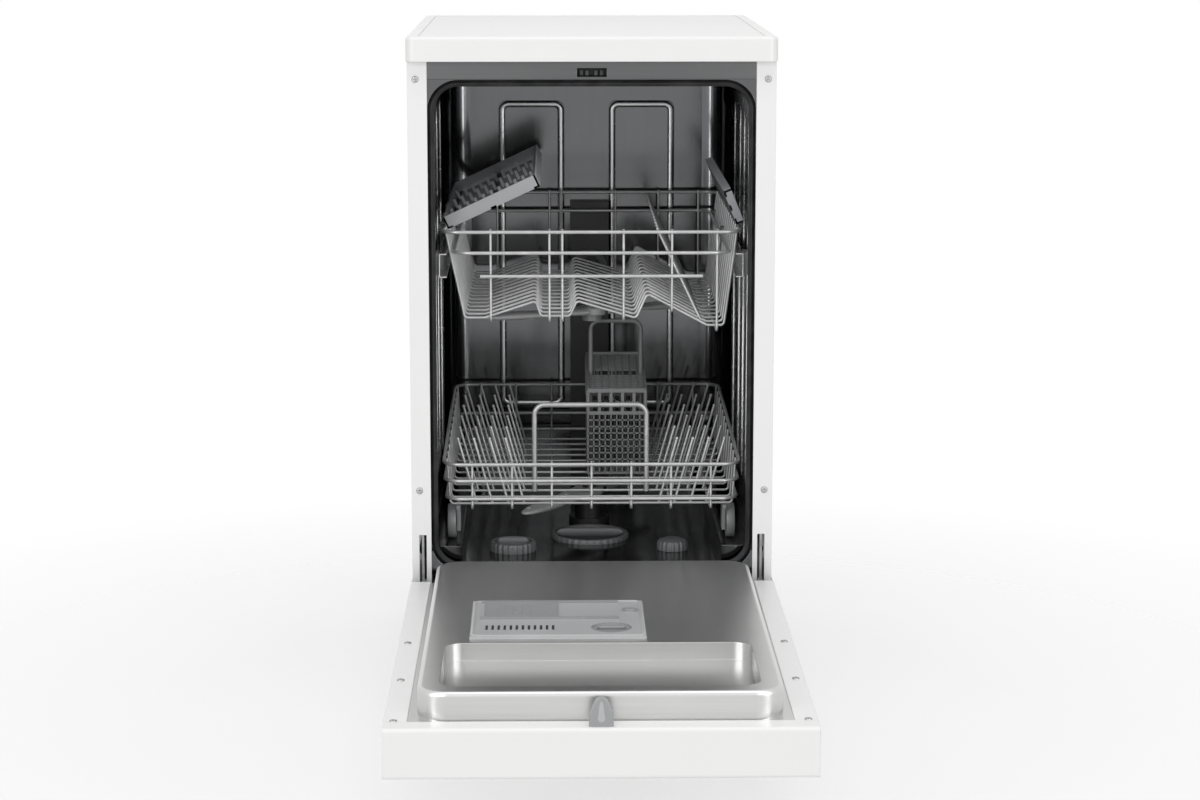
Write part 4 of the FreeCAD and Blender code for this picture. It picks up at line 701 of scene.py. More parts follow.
wheel_pair("front_wheel_pair", "lower_front_wheels", **WHEEL)
wheel_pair("rear_wheel_pair", "lower_rear_wheels", **WHEEL)
wheel_pair("front_roller_pair", "upper_front_rollers", **ROLLER)
wheel_pair("rear_roller_pair", "upper_rear_rollers", **ROLLER)

# %% [markdown]
# ## Cutlery basket
# The basket is a lattice moulding. Its walls are thin upright and level straps, its upper band has tall
# slots, its lid is a sloping grid, and a hoop handle stands over it. Cutting holes out of a box would be
# slow, so hundreds of short bars, worked out in rows, make the lattice.

# %% Rows of bars
BAR_CORNERS = np.array([(-1, -1), (1, -1), (1, 1), (-1, 1)]) / 2
BAR_FACES = np.array([[0, 1, 2, 3], [7, 6, 5, 4], [0, 4, 5, 1], [1, 5, 6, 2], [2, 6, 7, 3], [3, 7, 4, 0]])


def bars(starts, ends, wide, thick, facing):
    """Straight bars, one for each pair of ends: four edges round each line, with square ends."""
    starts, ends = np.atleast_2d(starts), np.atleast_2d(ends)
    ahead = unit(ends - starts)
    across = unit(np.cross(ahead, facing))
    above = np.cross(across, ahead)
    corners = BAR_CORNERS[:, :1] * wide * across[:, None] + BAR_CORNERS[:, 1:] * thick * above[:, None]
    points = np.concatenate([starts[:, None] + corners, ends[:, None] + corners], axis=1)
    faces = BAR_FACES + 8 * np.arange(len(points))[:, None, None]
    return points.reshape(-1, 3), faces.reshape(-1, 4)


def grid_of(xs, ys, zs):
    """Every combination of places along three axes."""
    return np.stack(np.meshgrid(xs, ys, zs, indexing="ij"), axis=-1).reshape(-1, 3)


print("faces of one bar:", len(BAR_FACES))

# %% Basket walls
BASKET_TALL, BASKET_SLOPE, BASKET_BAND = 0.138, 0.026, 0.03
STRAP, WALL = 0.0018, 0.0022
STRAP_PITCH, LEVEL_PITCH = 0.0075, 0.0088
POST_WIDE, BAND_TALL, RIM_TALL = 0.0042, 0.0046, 0.0055
BAND_THICK, RIM_THICK = 1.3 * WALL, 1.5 * WALL
POST_GAPS = (5, 9, 5, 9)

basket_low, basket_high = corners_of("cutlery_basket")
foot_level, hoop_crown = basket_low[2], basket_high[2]
back_top = foot_level + BASKET_TALL
front_top = back_top - BASKET_SLOPE
slot_band = front_top - BASKET_BAND
left, near = basket_low[:2] + WALL / 2
right, far = basket_high[:2] - WALL / 2


def slope_top(y):
    """Height of the basket's sloping rim at a depth."""
    return front_top + BASKET_SLOPE * (y - basket_low[1]) / (basket_high[1] - basket_low[1])


def wall_lattice(foot, next_foot, facing):
    """Upright straps along a wall, and level straps up it, from one lower corner to the other."""
    count = int(np.linalg.norm(next_foot - foot) / STRAP_PITCH)
    feet = np.linspace(foot, next_foot, count + 1)
    levels = np.arange(foot_level + WALL, slot_band, LEVEL_PITCH)
    return [bars(feet, raised(feet, slot_band), STRAP, WALL, facing),
            bars(grid_of(*foot[:2], levels), grid_of(*next_foot[:2], levels), STRAP, WALL, facing)]


def slotted_band(foot, next_foot, facing, gaps):
    """Posts between the lattice and the sloping rim, and a level strap under and over them."""
    starts, ends = raised(foot, slot_band), raised(next_foot, slot_band)
    posts = np.linspace(starts, ends, gaps + 1)
    rim_start, rim_end = raised(foot, slope_top(foot[1])), raised(next_foot, slope_top(next_foot[1]))
    return [bars(posts, raised(posts, slope_top(posts[:, 1])), POST_WIDE, WALL, facing),
            bars(starts, ends, BAND_TALL, BAND_THICK, facing),
            bars(rim_start, rim_end, RIM_TALL, RIM_THICK, facing)]


corner_feet = np.array([(left, near), (right, near), (right, far), (left, far)])
corner_feet = np.insert(corner_feet, 2, foot_level, axis=1)
next_feet = np.roll(corner_feet, -1, axis=0)
basket = []
for foot, next_foot, facing, gaps in zip(corner_feet, next_feet, (-BACK, RIGHT, BACK, -RIGHT), POST_GAPS):
    basket += wall_lattice(foot, next_foot, facing) + slotted_band(foot, next_foot, facing, gaps)
print("patches in the basket's walls:", len(basket))

# %% Basket lid and floor
LID_FACING = (0.0, -0.17, 1.0)
LID_START, HOOP_CLEAR = 0.007, 0.005
LID_BAR, LID_RIB = (0.0026, 0.0018), (0.0022, 0.003)
BAR_DROP, RIB_DROP = 0.001, 0.002
FLOOR_STRAP = 0.003
basket_x, hoop_y, _ = (basket_low + basket_high) / 2


def on_slope(x, y, drop):
    """Points over the basket, so far under its sloping rim."""
    return points_of(x, y, slope_top(y) - drop)


lid_y = np.arange(near + LID_START, far, STRAP_PITCH)
lid_y = lid_y[np.abs(lid_y - hoop_y) > HOOP_CLEAR]
lid_x = np.linspace(left, right, 9)[1:-1]
floor_x, floor_y = np.linspace(left, right, 9), np.linspace(near, far, 17)
floor_z = foot_level + WALL / 2
basket += [
    bars(on_slope(left, lid_y, BAR_DROP), on_slope(right, lid_y, BAR_DROP), *LID_BAR, LID_FACING),
    bars(on_slope(lid_x, near, RIB_DROP), on_slope(lid_x, far, RIB_DROP), *LID_RIB, LID_FACING),
    bars(grid_of(floor_x, near, floor_z), grid_of(floor_x, far, floor_z), FLOOR_STRAP, WALL, UP),
    bars(grid_of(left, floor_y, floor_z), grid_of(right, floor_y, floor_z), FLOOR_STRAP, WALL, UP),
]
print("bars across the lid:", len(lid_y))

# %% Basket handle
HOOP_RADIUS, HOOP_BEND, HOOP_INSET = 0.003, 0.012, 0.0055


def ring_of(radius, sides, flat=1.0):
    """A circle as a profile, or an ellipse where flat isn't one."""
    angle = round_angles(sides)
    return radius * np.stack([np.cos(angle), flat * np.sin(angle)], axis=1)


hoop_half = (basket_high[0] - basket_low[0]) / 2 - HOOP_INSET
hoop_top = hoop_crown - HOOP_RADIUS
bend = np.linspace(0.0, np.pi / 2, 9)
crown_x = HOOP_BEND * (1 - np.cos(bend)) - hoop_half
crown_z = hoop_top - HOOP_BEND * (1 - np.sin(bend))
half_hoop = np.vstack([(-hoop_half, foot_level + WALL), np.stack([crown_x, crown_z], axis=1)])
hoop = np.vstack([half_hoop, half_hoop[::-1] * (-1.0, 1.0)])
hoop_path = np.insert(hoop, 1, hoop_y, axis=1) + basket_x * RIGHT
basket.append(carried(hoop_path, ring_of(HOOP_RADIUS, sides=14), BACK))
make_piece("lattice_basket", basket, basket_plastic, "lower_rack", ["cutlery_basket"])

# %% [markdown]
# ## Screws
# A pan head is a low dome with a cross recess. Its height is a function of radius and angle: the dome's
# curve, less a step where the point lies inside either arm of the cross.

# %% Screws
SCREW_RADIUS = 0.0042
FLANGE_X = 0.214
FRAME_SCREW_HEIGHTS = (0.2895, 0.798)
ARM_HALF, ARM_REACH, RECESS = 0.2, 0.66, 0.5
ARM_STEEP, REACH_STEEP, DOME_FALL = 6, 8, 0.98


def pan_heads(places, axis, tall):
    """Domes with a cross recess at given places, each over a polar grid that faces along an axis."""
    side = np.cross(axis, RIGHT)
    other = np.cross(axis, side)
    radius = np.linspace(0.0, 1.0, 15)
    angle = round_angles(48)[:, None]
    a, b = radius * np.cos(angle), radius * np.sin(angle)
    arms = ramp(ARM_STEEP * (ARM_HALF - np.minimum(np.abs(a), np.abs(b))))
    cross = arms * ramp(REACH_STEEP * (ARM_REACH - radius))
    height = tall * (np.sqrt(1 - DOME_FALL * radius ** 4) - RECESS * cross)
    disc = SCREW_RADIUS * (a[..., None] * side + b[..., None] * other)
    head = np.concatenate([disc + height[..., None] * axis, disc[:, -1:]], axis=1)
    return [patch(head + place, round_first=True) for place in places]


flanges = (-FLANGE_X, FLANGE_X)
frame_low, frame_high = corners_of("frame_screws")
frame_places = grid_of(flanges, frame_high[1], FRAME_SCREW_HEIGHTS)
make_piece("flange_screws", pan_heads(frame_places, -BACK, frame_high[1] - frame_low[1]), screw_steel,
           "cabinet", ["frame_screws"])
door_low, door_high = corners_of("door_screws")
screw_rows = np.linspace(door_low[1] + SCREW_RADIUS, door_high[1] - SCREW_RADIUS, 3)
door_places = grid_of(flanges, screw_rows, door_low[2])
make_piece("door_flange_screws", pan_heads(door_places, UP, door_high[2] - door_low[2]), screw_steel,
           "door", ["door_screws"])

# %% [markdown]
# ## Dispenser
# The detergent lid is a shallow moulding with round corners, a raised border and finger ridges, so its
# height is a function of the place on it. The rinse-aid cap is turned, with a grip bar across it, and a
# raised bead runs round the dispenser's plate.

# %% Detergent lid
LID_CORNER = 0.035
LID_UNDER = 0.0001
LID_LEVEL, RIM_GAIN, RIDGE_GAIN, EDGE_LEVEL = 0.55, 0.3, 0.4, 0.45
RIM_START, RIDGE_WAVES = 0.84, 4.5
RIDGE_LONG, RIDGE_WIDE = 0.6, 0.5
RIM_STEEP, RIDGE_STEEP, EDGE_STEEP = 10, 6, 30


def ridged_lid(node):
    """A lid over a stretched grid: flat, with a raised rim, a dished middle and a row of soft ridges."""
    centre, half = middle_of(node)
    foot, thick = centre[2] - half[2], 2 * half[2]
    u = np.linspace(-1.0, 1.0, 61)[:, None]
    v = np.linspace(-1.0, 1.0, 51)
    outwards = np.maximum(np.abs(u), np.abs(v))
    rim = ramp(RIM_STEEP * (outwards - RIM_START))
    waves = ramp(np.cos(2 * np.pi * RIDGE_WAVES * u))
    row = ramp(RIDGE_STEEP * (RIDGE_WIDE - np.abs(u))) * ramp(RIDGE_STEEP * (RIDGE_LONG - np.abs(v)))
    edge = np.sqrt(ramp(EDGE_STEEP * (1 - outwards)))
    level = LID_LEVEL + RIM_GAIN * rim + RIDGE_GAIN * waves * row
    height = thick * level * (EDGE_LEVEL + (1 - EDGE_LEVEL) * edge)
    pull = 1 - LID_CORNER * (u * v) ** 6
    x = centre[0] + half[0] * u * pull
    y = centre[1] + half[1] * v * pull
    top = points_of(x, y, foot + np.minimum(height, thick))
    under = points_of(x, y, foot + LID_UNDER)
    walls = [(top[0], under[0]), (top[-1], under[-1]), (top[:, 0], under[:, 0]), (top[:, -1], under[:, -1])]
    return [patch(top), patch(under)] + [patch(np.stack(wall)) for wall in walls]


make_piece("ridged_lid", ridged_lid("dispenser_lid"), lid_plastic, "dispenser_lid",
           ["dispenser_lid"])

# %% Rinse-aid cap
CAP_RADIUS, CAP_STEM, CAP_SEAT, CAP_DISH = 0.0219, 0.0104, 0.0049, 0.0016
CAP_GRIP, CAP_GRIP_RADIUS, CAP_GRIP_FLAT = 0.0155, 0.0034, 0.72
BLUNT_END = 0.02


def blunt_bar(centre, reach, section, up, power, stations=25, swell=1.0):
    """A section carried along a line, with blunt round ends: its size is the root of 1 - share ** power."""
    share = np.linspace(-1.0, 1.0, stations)
    taper = np.sqrt(np.clip(1 - share ** power, BLUNT_END, 1.0))
    return carried(centre + share[:, None] * reach, section, up, scale=swell * taper)


plate_low, plate_high = corners_of("dispenser_body")
plate_top = plate_high[2]
cap_low, cap_high = corners_of("rinse_aid_cap")
cap_middle = raised((cap_low + cap_high) / 2, plate_top)
stem_foot = cap_low[2] - plate_top
cap_profile = [(0.0, stem_foot), (CAP_STEM, stem_foot), (CAP_STEM, -CAP_SEAT), (CAP_RADIUS, -CAP_SEAT),
               (CAP_RADIUS, -0.0008), (CAP_RADIUS - 0.0008, 0.0), (CAP_RADIUS - 0.003, 0.0),
               (CAP_RADIUS - 0.0045, -CAP_DISH), (0.0, -CAP_DISH)]
grip_section = ring_of(CAP_GRIP_RADIUS, sides=16, flat=CAP_GRIP_FLAT)
cap_grip = blunt_bar(cap_middle, CAP_GRIP * RIGHT, grip_section, UP, power=6, stations=23)
make_piece("rinse_cap", [turned(cap_profile, cap_middle, UP, sides=64), cap_grip], grey_plastic,
           "rinse_aid_cap", ["rinse_aid_cap"])

# %% Dispenser bead
BEAD_INSET, BEAD_CORNER, BEAD_SUNK = 0.003, 0.008, 0.0004
BEAD_RADIUS, BEAD_FLAT = 0.0022, 0.8
bead_loop = rounded_loop(*((plate_high - plate_low)[:2] / 2 - BEAD_INSET), BEAD_CORNER)
bead_middle = raised((plate_low + plate_high) / 2, plate_top - BEAD_SUNK)
bead_path = np.insert(bead_loop, 2, 0.0, axis=1) + bead_middle
bead_section = ring_of(BEAD_RADIUS, sides=12, flat=BEAD_FLAT)
make_piece("dispenser_bead", [carried(bead_path, bead_section, UP, closed=True)], light_grey_plastic,
           "door")

# %% [markdown]
# The lid runs between two rails, and a round button beside it lets it go. A row of slots next to the cap
# vents the chamber: they are flat black bars on the plate, painted shade where the openings are.

# %% Dispenser trim
LID_TRAVEL = 0.066
RAIL_WIDE, RAIL_TALL, RAIL_PAST, RAIL_SUNK = 0.0024, 0.0032, 0.002, 0.0002
RAIL_OUT = 0.7 * RAIL_WIDE
VENT_LONG, VENT_WIDE, VENT_TALL, VENT_INSET = 0.018, 0.0026, 0.0006, 0.006
RELEASE_PROFILE = [(0.0, 0.0028), (0.0045, 0.0026), (0.0062, 0.0016), (0.0066, -0.0002), (0.0082, -0.0002),
                   (0.0086, 0.0012), (0.0096, 0.0012), (0.01, -0.0002)]
lid_low, lid_high = corners_of("dispenser_lid")
rail_y = (lid_low[1] - RAIL_OUT, lid_high[1] + RAIL_OUT)
rail_z = plate_top + RAIL_TALL / 2 - RAIL_SUNK
rails = bars(grid_of(lid_low[0] - RAIL_PAST, rail_y, rail_z),
             grid_of(lid_high[0] + LID_TRAVEL + RAIL_PAST, rail_y, rail_z), RAIL_WIDE, RAIL_TALL, UP)
release_x = (lid_high[0] + LID_TRAVEL + plate_high[0]) / 2
release = turned(RELEASE_PROFILE, (release_x, (lid_low[1] + lid_high[1]) / 2, plate_top), UP, sides=48)
make_piece("dispenser_trim", [rails, release], lid_plastic, "door")
vent_x = np.linspace(lid_low[0] + VENT_INSET, lid_high[0] - VENT_INSET, 12)
vent_feet = grid_of(vent_x, cap_middle[1] - VENT_LONG / 2, plate_top)
make_piece("dispenser_vents", [bars(vent_feet, vent_feet + VENT_LONG * BACK, VENT_WIDE, VENT_TALL, UP)],
           black_plastic, "door")

# %% [markdown]
# ## Latch striker and latch teeth
# The striker is a grey tongue that narrows to a blunt tip and swells at its foot. It is a stack of boxy
# ovals whose half width and half depth change with height, and a low rib stiffens its front. Four teeth
# in the latch housing over the tub's mouth take hold of it.

# %% Latch striker
STRIKER_WAIST, STRIKER_NARROWING, NARROWING_START = 0.06, 0.62, 0.38
STRIKER_THINNING = 0.45
striker_middle, striker_half = middle_of("latch_striker")
rise = np.linspace(0.0, 1.0, 30)[:, None]
around = round_angles(40)
tip = np.sqrt(1 - rise ** 14)
past = ramp((rise - NARROWING_START) / (1 - NARROWING_START))
narrowing = STRIKER_WAIST * np.sin(np.pi * rise) + STRIKER_NARROWING * past ** 1.3
striker_x = striker_half[0] * (1 - narrowing) * tip * squared(np.cos(around), 0.5)
striker_y = striker_half[1] * (1 - STRIKER_THINNING * rise ** 2) * tip * squared(np.sin(around), 0.5)
striker_z = striker_half[2] * (2 * rise - 1)
striker = patch(points_of(striker_x, striker_y, striker_z) + striker_middle, round_second=True)
make_piece("striker_tongue", [striker], lid_plastic, "door", ["latch_striker"])

# %% Striker rib
RIB_FOOT, RIB_HEAD, RIB_FRONT = -0.8, 0.72, 0.7
RIB_RADIUS, RIB_FLAT = 0.0042, 0.28
FOOT_SWELL, HEAD_SWELL, RIB_STATIONS = 1.6, 0.3, 25
rib_middle = striker_middle + striker_half * (0.0, -RIB_FRONT, (RIB_FOOT + RIB_HEAD) / 2)
rib_reach = (RIB_HEAD - RIB_FOOT) / 2 * striker_half[2] * UP
striker_section = ring_of(RIB_RADIUS, sides=16, flat=RIB_FLAT)
striker_rib = blunt_bar(rib_middle, rib_reach, striker_section, -BACK, power=4, stations=RIB_STATIONS,
                        swell=np.linspace(FOOT_SWELL, HEAD_SWELL, RIB_STATIONS))
make_piece("striker_rib", [striker_rib], light_grey_plastic, "door")

# %% Latch teeth
TOOTH_PLACES = (-0.0125, -0.0055, 0.0055, 0.0125)
TOOTH_TALL, TOOTH_WIDE, TOOTH_THICK = 0.0062, 0.004, 0.003
TOOTH_INSET, TOOTH_FOOT = 0.0045, 0.0016
latch_low, latch_high = corners_of("latch_housing")
tooth_feet = grid_of(TOOTH_PLACES, latch_high[1] - TOOTH_INSET, latch_low[2] + TOOTH_FOOT)
make_piece("latch_teeth", [bars(tooth_feet, tooth_feet + TOOTH_TALL * UP, TOOTH_WIDE, TOOTH_THICK, BACK)],
           grey_plastic, "cabinet")

# %% [markdown]
# ## Buttons, lights, feet and springs
# Buttons, the four lights in the window and the feet are round, so a turned profile is the shortest way to
# each. The springs beside the tub are true coils: a circle carried along a helix, whose angle grows evenly
# along its length.

# %% Buttons and window lights
BUTTON_PROFILE = [(0.0, 0.0006), (0.0045, 0.0002), (0.0062, 0.0), (0.0074, 0.0006), (0.0079, 0.0018),
                  (0.0079, 0.014), (0.0, 0.014)]
LIGHT_PROFILE = [(0.0, 0.0003), (0.0009, 0.00025), (0.0012, 0.0)]
LIGHT_INSET = 0.007


def foot_of(node):
    """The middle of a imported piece's underside."""
    low, high = corners_of(node)
    return raised((low + high) / 2, low[2])


for button in ("power_button", "program_button", "start_button"):
    make_piece(button + "_cap", [turned(BUTTON_PROFILE, foot_of(button), UP, sides=48)], white_plastic,
               button, [button])
window_half = middle_of("indicator_window")[1][0] - LIGHT_INSET
light_places = foot_of("indicator_window") + np.linspace(-window_half, window_half, 4)[:, None] * RIGHT
make_piece("window_lights", [turned(LIGHT_PROFILE, place, -UP, sides=20) for place in light_places],
           light_grey_plastic, "door")

# %% Feet
FOOT_RADIUS = 0.019
FOOT_PROFILE = [(0.0, 0.0), (0.0165, 0.0), (0.0188, 0.0015), (FOOT_RADIUS, 0.006), (0.0178, 0.0085),
                (0.0125, 0.009), (0.0105, 0.012), (0.0098, 0.0165), (0.0066, 0.0172)]
THREAD_LOW, THREAD_HIGH, THREAD_PITCH = 0.0172, 0.0398, 0.0024
THREAD_RADIUS, THREAD_DEPTH = 0.0055, 0.0005
thread = np.linspace(THREAD_LOW, THREAD_HIGH, 40)
thread_radius = THREAD_RADIUS + THREAD_DEPTH * np.sign(np.sin(2 * np.pi * thread / THREAD_PITCH))
foot_profile = np.vstack([FOOT_PROFILE, np.stack([thread_radius, thread], axis=1), (0.0, THREAD_HIGH)])
feet_low, feet_high = corners_of("levelling_feet")
foot_x, foot_y, _ = zip(feet_low + FOOT_RADIUS, feet_high - FOOT_RADIUS)
foot_places = grid_of(foot_x, foot_y, 0.0)
make_piece("turned_feet", [turned(foot_profile, place, UP, sides=40) for place in foot_places],
           black_plastic, "cabinet", ["levelling_feet"])

# %% Springs
COIL_RADIUS, COIL_WIRE, COIL_TURNS, COIL_STEPS = 0.0067, 0.0012, 60, 14
SPRING_X, ANCHOR_X = 0.2105, 0.209
ANCHOR_WIDE, ANCHOR_TALL = 0.003, 0.016
spring_low, spring_high = corners_of("counterbalance_springs")
spring_z = (spring_low[2] + spring_high[2]) / 2
along = np.linspace(0.0, 1.0, COIL_TURNS * COIL_STEPS)
wind = 2 * np.pi * COIL_TURNS * along
coil_path = points_of(SPRING_X + COIL_RADIUS * np.cos(wind),
                      spring_low[1] + (spring_high[1] - spring_low[1] - ANCHOR_WIDE) * along,
                      spring_z + COIL_RADIUS * np.sin(wind))
anchor_y = spring_high[1] - ANCHOR_WIDE / 2
anchor = bars((ANCHOR_X, anchor_y, spring_z), (spring_high[0], anchor_y, spring_z), ANCHOR_WIDE,
              ANCHOR_TALL, UP)
spring = [carried(coil_path, ring_of(COIL_WIRE, sides=7), BACK), anchor]
make_piece("coil_springs", spring + mirrored(spring), zinc, "cabinet",
           ["counterbalance_springs"])

# %% [markdown]
# ## Cup shelves
# Each shelf is a shallow grey tray that hangs on the rack's side wire, and cups lean between its rows of
# pegs. Its bars are laid out flat, as distances across from the wire, along it and above it. One turn about
# the wire then brings them to the angle at which the shelf rests.

# %% Flat shelf
SHELF_WALL = 0.0022
GUTTER, ROW_WIDE = 3.4 * SHELF_WALL, 2.4 * SHELF_WALL
PEG_SHARE, PEG_WIDE, PEG_THICK = 0.84, 0.004, 0.003
COMB_START, COMB_PITCH, COMB_WIDE, COMB_THICK = 0.012, 0.011, 0.004, 0.0026
CLIP_REACH, CLIP_RADIUS, CLIP_BORE, CLIP_HALF = 0.008, 0.005, 0.0025, 0.007
CLIP_PLACES = (0.0515, 0.1505, 0.2825, 0.3815)
WEB_INSET = 0.001
CLIP_PROFILE = [(CLIP_BORE, -CLIP_HALF), (CLIP_RADIUS, -CLIP_HALF), (CLIP_RADIUS, CLIP_HALF),
                (CLIP_BORE, CLIP_HALF), (CLIP_BORE, -CLIP_HALF)]
ROW_START, ROW_PITCH, ROW_COUNT = 0.0407, 0.022, 17
FLOOR_ROWS = ROW_START + ROW_PITCH * np.arange(ROW_COUNT)
PEG_ROWS = FLOOR_ROWS[2::5]


def shelf_walls(near, far, tall, length, pegs):
    """Walls, pegs, comb and clips, all as (across, along, above) from the wire."""
    half = SHELF_WALL / 2
    middle = tall / 2 - SHELF_WALL
    across, along = (near + half, far - half), (half, length - half)
    peg_feet = grid_of(np.linspace(near + GUTTER, far - GUTTER, pegs), PEG_ROWS, -half)
    comb = grid_of(far, np.arange(COMB_START, length, COMB_PITCH), middle)
    web_start = grid_of(CLIP_BORE + WEB_INSET, CLIP_PLACES, -half)
    web_end = grid_of(near + half, CLIP_PLACES, -half)
    return [
        bars(grid_of(across, 0.0, middle), grid_of(across, length, middle), SHELF_WALL, tall, UP),
        bars(grid_of(near, along, middle), grid_of(far, along, middle), SHELF_WALL, tall, UP),
        bars(peg_feet, peg_feet + PEG_SHARE * tall * UP, PEG_WIDE, PEG_THICK, BACK),
        bars(comb - tall / 2 * UP, comb + tall / 2 * UP, COMB_WIDE, COMB_THICK, RIGHT),
        *[turned(CLIP_PROFILE, place * BACK, BACK, sides=24) for place in CLIP_PLACES],
        bars(web_start, web_end, 2 * CLIP_HALF, SHELF_WALL, UP),
    ]


def shelf_floor(near, far, length):
    """Three gutters along the shelf and rows across it, in the same flat frame."""
    height = -SHELF_WALL / 2
    gutters = (near + GUTTER / 2, (near + far) / 2, far - GUTTER / 2)
    return [
        bars(grid_of(gutters, 0.0, height), grid_of(gutters, length, height), GUTTER, SHELF_WALL, UP),
        bars(grid_of(near, FLOOR_ROWS, height), grid_of(far, FLOOR_ROWS, height), ROW_WIDE, SHELF_WALL, UP),
    ]


print("rows of pegs:", len(PEG_ROWS))

# %% Hung shelves
# Each shelf has its width, its height, its tilt in degrees and its number of pegs in a row.
SHELVES = {"left": (0.126, 0.016, 25, 11), "right": (0.044, 0.010, 68, 4)}


def hung(patches, wire, start, degrees):
    """Turn flat points about the wire: across goes inwards and rises with the tilt, above leans with it."""
    inward = -np.sign(wire[0])
    cos, sin = math.cos(math.radians(degrees)), math.sin(math.radians(degrees))
    turn = np.array([[inward * cos, 0.0, sin], [0.0, 1.0, 0.0], [-inward * sin, 0.0, cos]])
    return [(points @ turn + (wire[0], start, wire[2]), faces) for points, faces in patches]


for side, (wide, tall, tilt, pegs) in SHELVES.items():
    node = "cup_shelf_" + side
    shelf_low, shelf_high = corners_of(node)
    length = shelf_high[1] - shelf_low[1]
    hang = (joints[node + "_fold"]["pos_m"], shelf_low[1], tilt)
    walls = shelf_walls(CLIP_REACH, CLIP_REACH + wide, tall, length, pegs)
    make_piece("peg_shelf_" + side, hung(walls, *hang), shelf_plastic, node, [node])
    rows = shelf_floor(CLIP_REACH, CLIP_REACH + wide, length)
    # The floor rows belong to the same grey moulding; they wear the dark grey as painted shade on the tray's
    # floor.
    make_piece("shelf_floor_" + side, hung(rows, *hang), dark_grey_plastic, node)

# %% [markdown]
# ## Filter, salt cap and float
# Three round mouldings stand on the tub's floor. A cap's rim is knurled for wet fingers, so its radius is a
# function of height and angle: the profile's radius, less a scallop that repeats round the rim. A bar
# across the top is the grip.

# %% Salt cap
SALT_RADIUS = 0.0299
SALT_GRIP, SALT_GRIP_HEIGHT = 0.0205, 0.0115
SALT_GRIP_RADIUS, SALT_GRIP_TALL = 0.0032, 0.0058
# Each point of a knurled profile has its radius, its height and the depth of its scallops.
SALT_PROFILE = [(0.0, 0.0, 0.0), (SALT_RADIUS, 0.0, 0.0016), (SALT_RADIUS, 0.0095, 0.0016),
                (SALT_RADIUS - 0.0015, 0.012, 0.0008), (SALT_RADIUS - 0.005, 0.012, 0.0),
                (SALT_RADIUS - 0.0075, 0.0085, 0.0), (0.0, 0.008, 0.0)]


def knurled(profile, origin, teeth):
    """A turned profile whose radius loses a scallop, depth * (1 + cos(teeth * angle)) / 2."""
    radius, height, depth = np.array(profile).T
    angle = round_angles(144)[:, None]
    scalloped = radius - depth * (1 + np.cos(teeth * angle)) / 2
    points = points_of(scalloped * np.cos(angle), scalloped * np.sin(angle), height)
    return patch(points + origin, round_first=True)


def grip_bar(centre, half_long, radius, tall):
    """A bar across a cap: an oval section carried along a line and rounded at its ends."""
    return blunt_bar(centre, half_long * RIGHT, ring_of(radius, sides=16, flat=tall / radius), UP, power=8)


salt_foot = foot_of("salt_cap")
salt_grip = grip_bar(salt_foot + SALT_GRIP_HEIGHT * UP, SALT_GRIP, SALT_GRIP_RADIUS, SALT_GRIP_TALL)
make_piece("salt_screw_cap", [knurled(SALT_PROFILE, salt_foot, teeth=24), salt_grip], dark_grey_plastic,
           "salt_cap", ["salt_cap"])

# %% Filter
FILTER_RADIUS, FILTER_RIM, FILTER_WALL = 0.0449, 0.006, 0.0022
FILTER_GRIP, FILTER_GRIP_RADIUS, FILTER_GRIP_TALL = 0.0439, 0.0024, 0.0057
filter_foot = foot_of("filter_cup")
rim_radius = FILTER_RADIUS + FILTER_RIM
rim_top = 2 * middle_of("filter_cup")[1][2] - FILTER_RIM
filter_profile = [(0.0, 0.0, 0.0), (FILTER_RADIUS, 0.0, 0.0), (FILTER_RADIUS, rim_top - FILTER_RIM, 0.0),
                  (rim_radius, rim_top - FILTER_RIM, 0.0012), (rim_radius, rim_top - 0.0015, 0.0012),
                  (rim_radius - 0.0015, rim_top, 0.0006), (FILTER_RADIUS + 0.0005, rim_top, 0.0),
                  (FILTER_RADIUS - FILTER_WALL, rim_top - 0.003, 0.0),
                  (FILTER_RADIUS - FILTER_WALL, FILTER_WALL, 0.0), (0.0, FILTER_WALL, 0.0)]
filter_grip = grip_bar(filter_foot + rim_top * UP, FILTER_GRIP, FILTER_GRIP_RADIUS, FILTER_GRIP_TALL)
make_piece("filter_basket", [knurled(filter_profile, filter_foot, teeth=36), filter_grip], dark_grey_plastic,
           "filter_cup", ["filter_cup"])

# %% Float
FLOAT_RADIUS, FLOAT_TALL, FLOAT_STEM = 0.0199, 0.014, 0.0049
float_foot = foot_of("overfill_float")
dome = 2 * middle_of("overfill_float")[1][2] - FLOAT_TALL
float_profile = [(0.0, 0.0, 0.0), (FLOAT_STEM, 0.0, 0.0), (FLOAT_STEM, dome, 0.0),
                 (FLOAT_RADIUS, dome, 0.0014), (FLOAT_RADIUS, dome + 0.0085, 0.0014),
                 (FLOAT_RADIUS - 0.002, dome + 0.012, 0.0007),
                 (FLOAT_RADIUS - 0.007, dome + FLOAT_TALL, 0.0), (0.0, dome + FLOAT_TALL, 0.0)]
make_piece("float_dome", [knurled(float_profile, float_foot, teeth=18)], dark_grey_plastic, "overfill_float",
           ["overfill_float"])
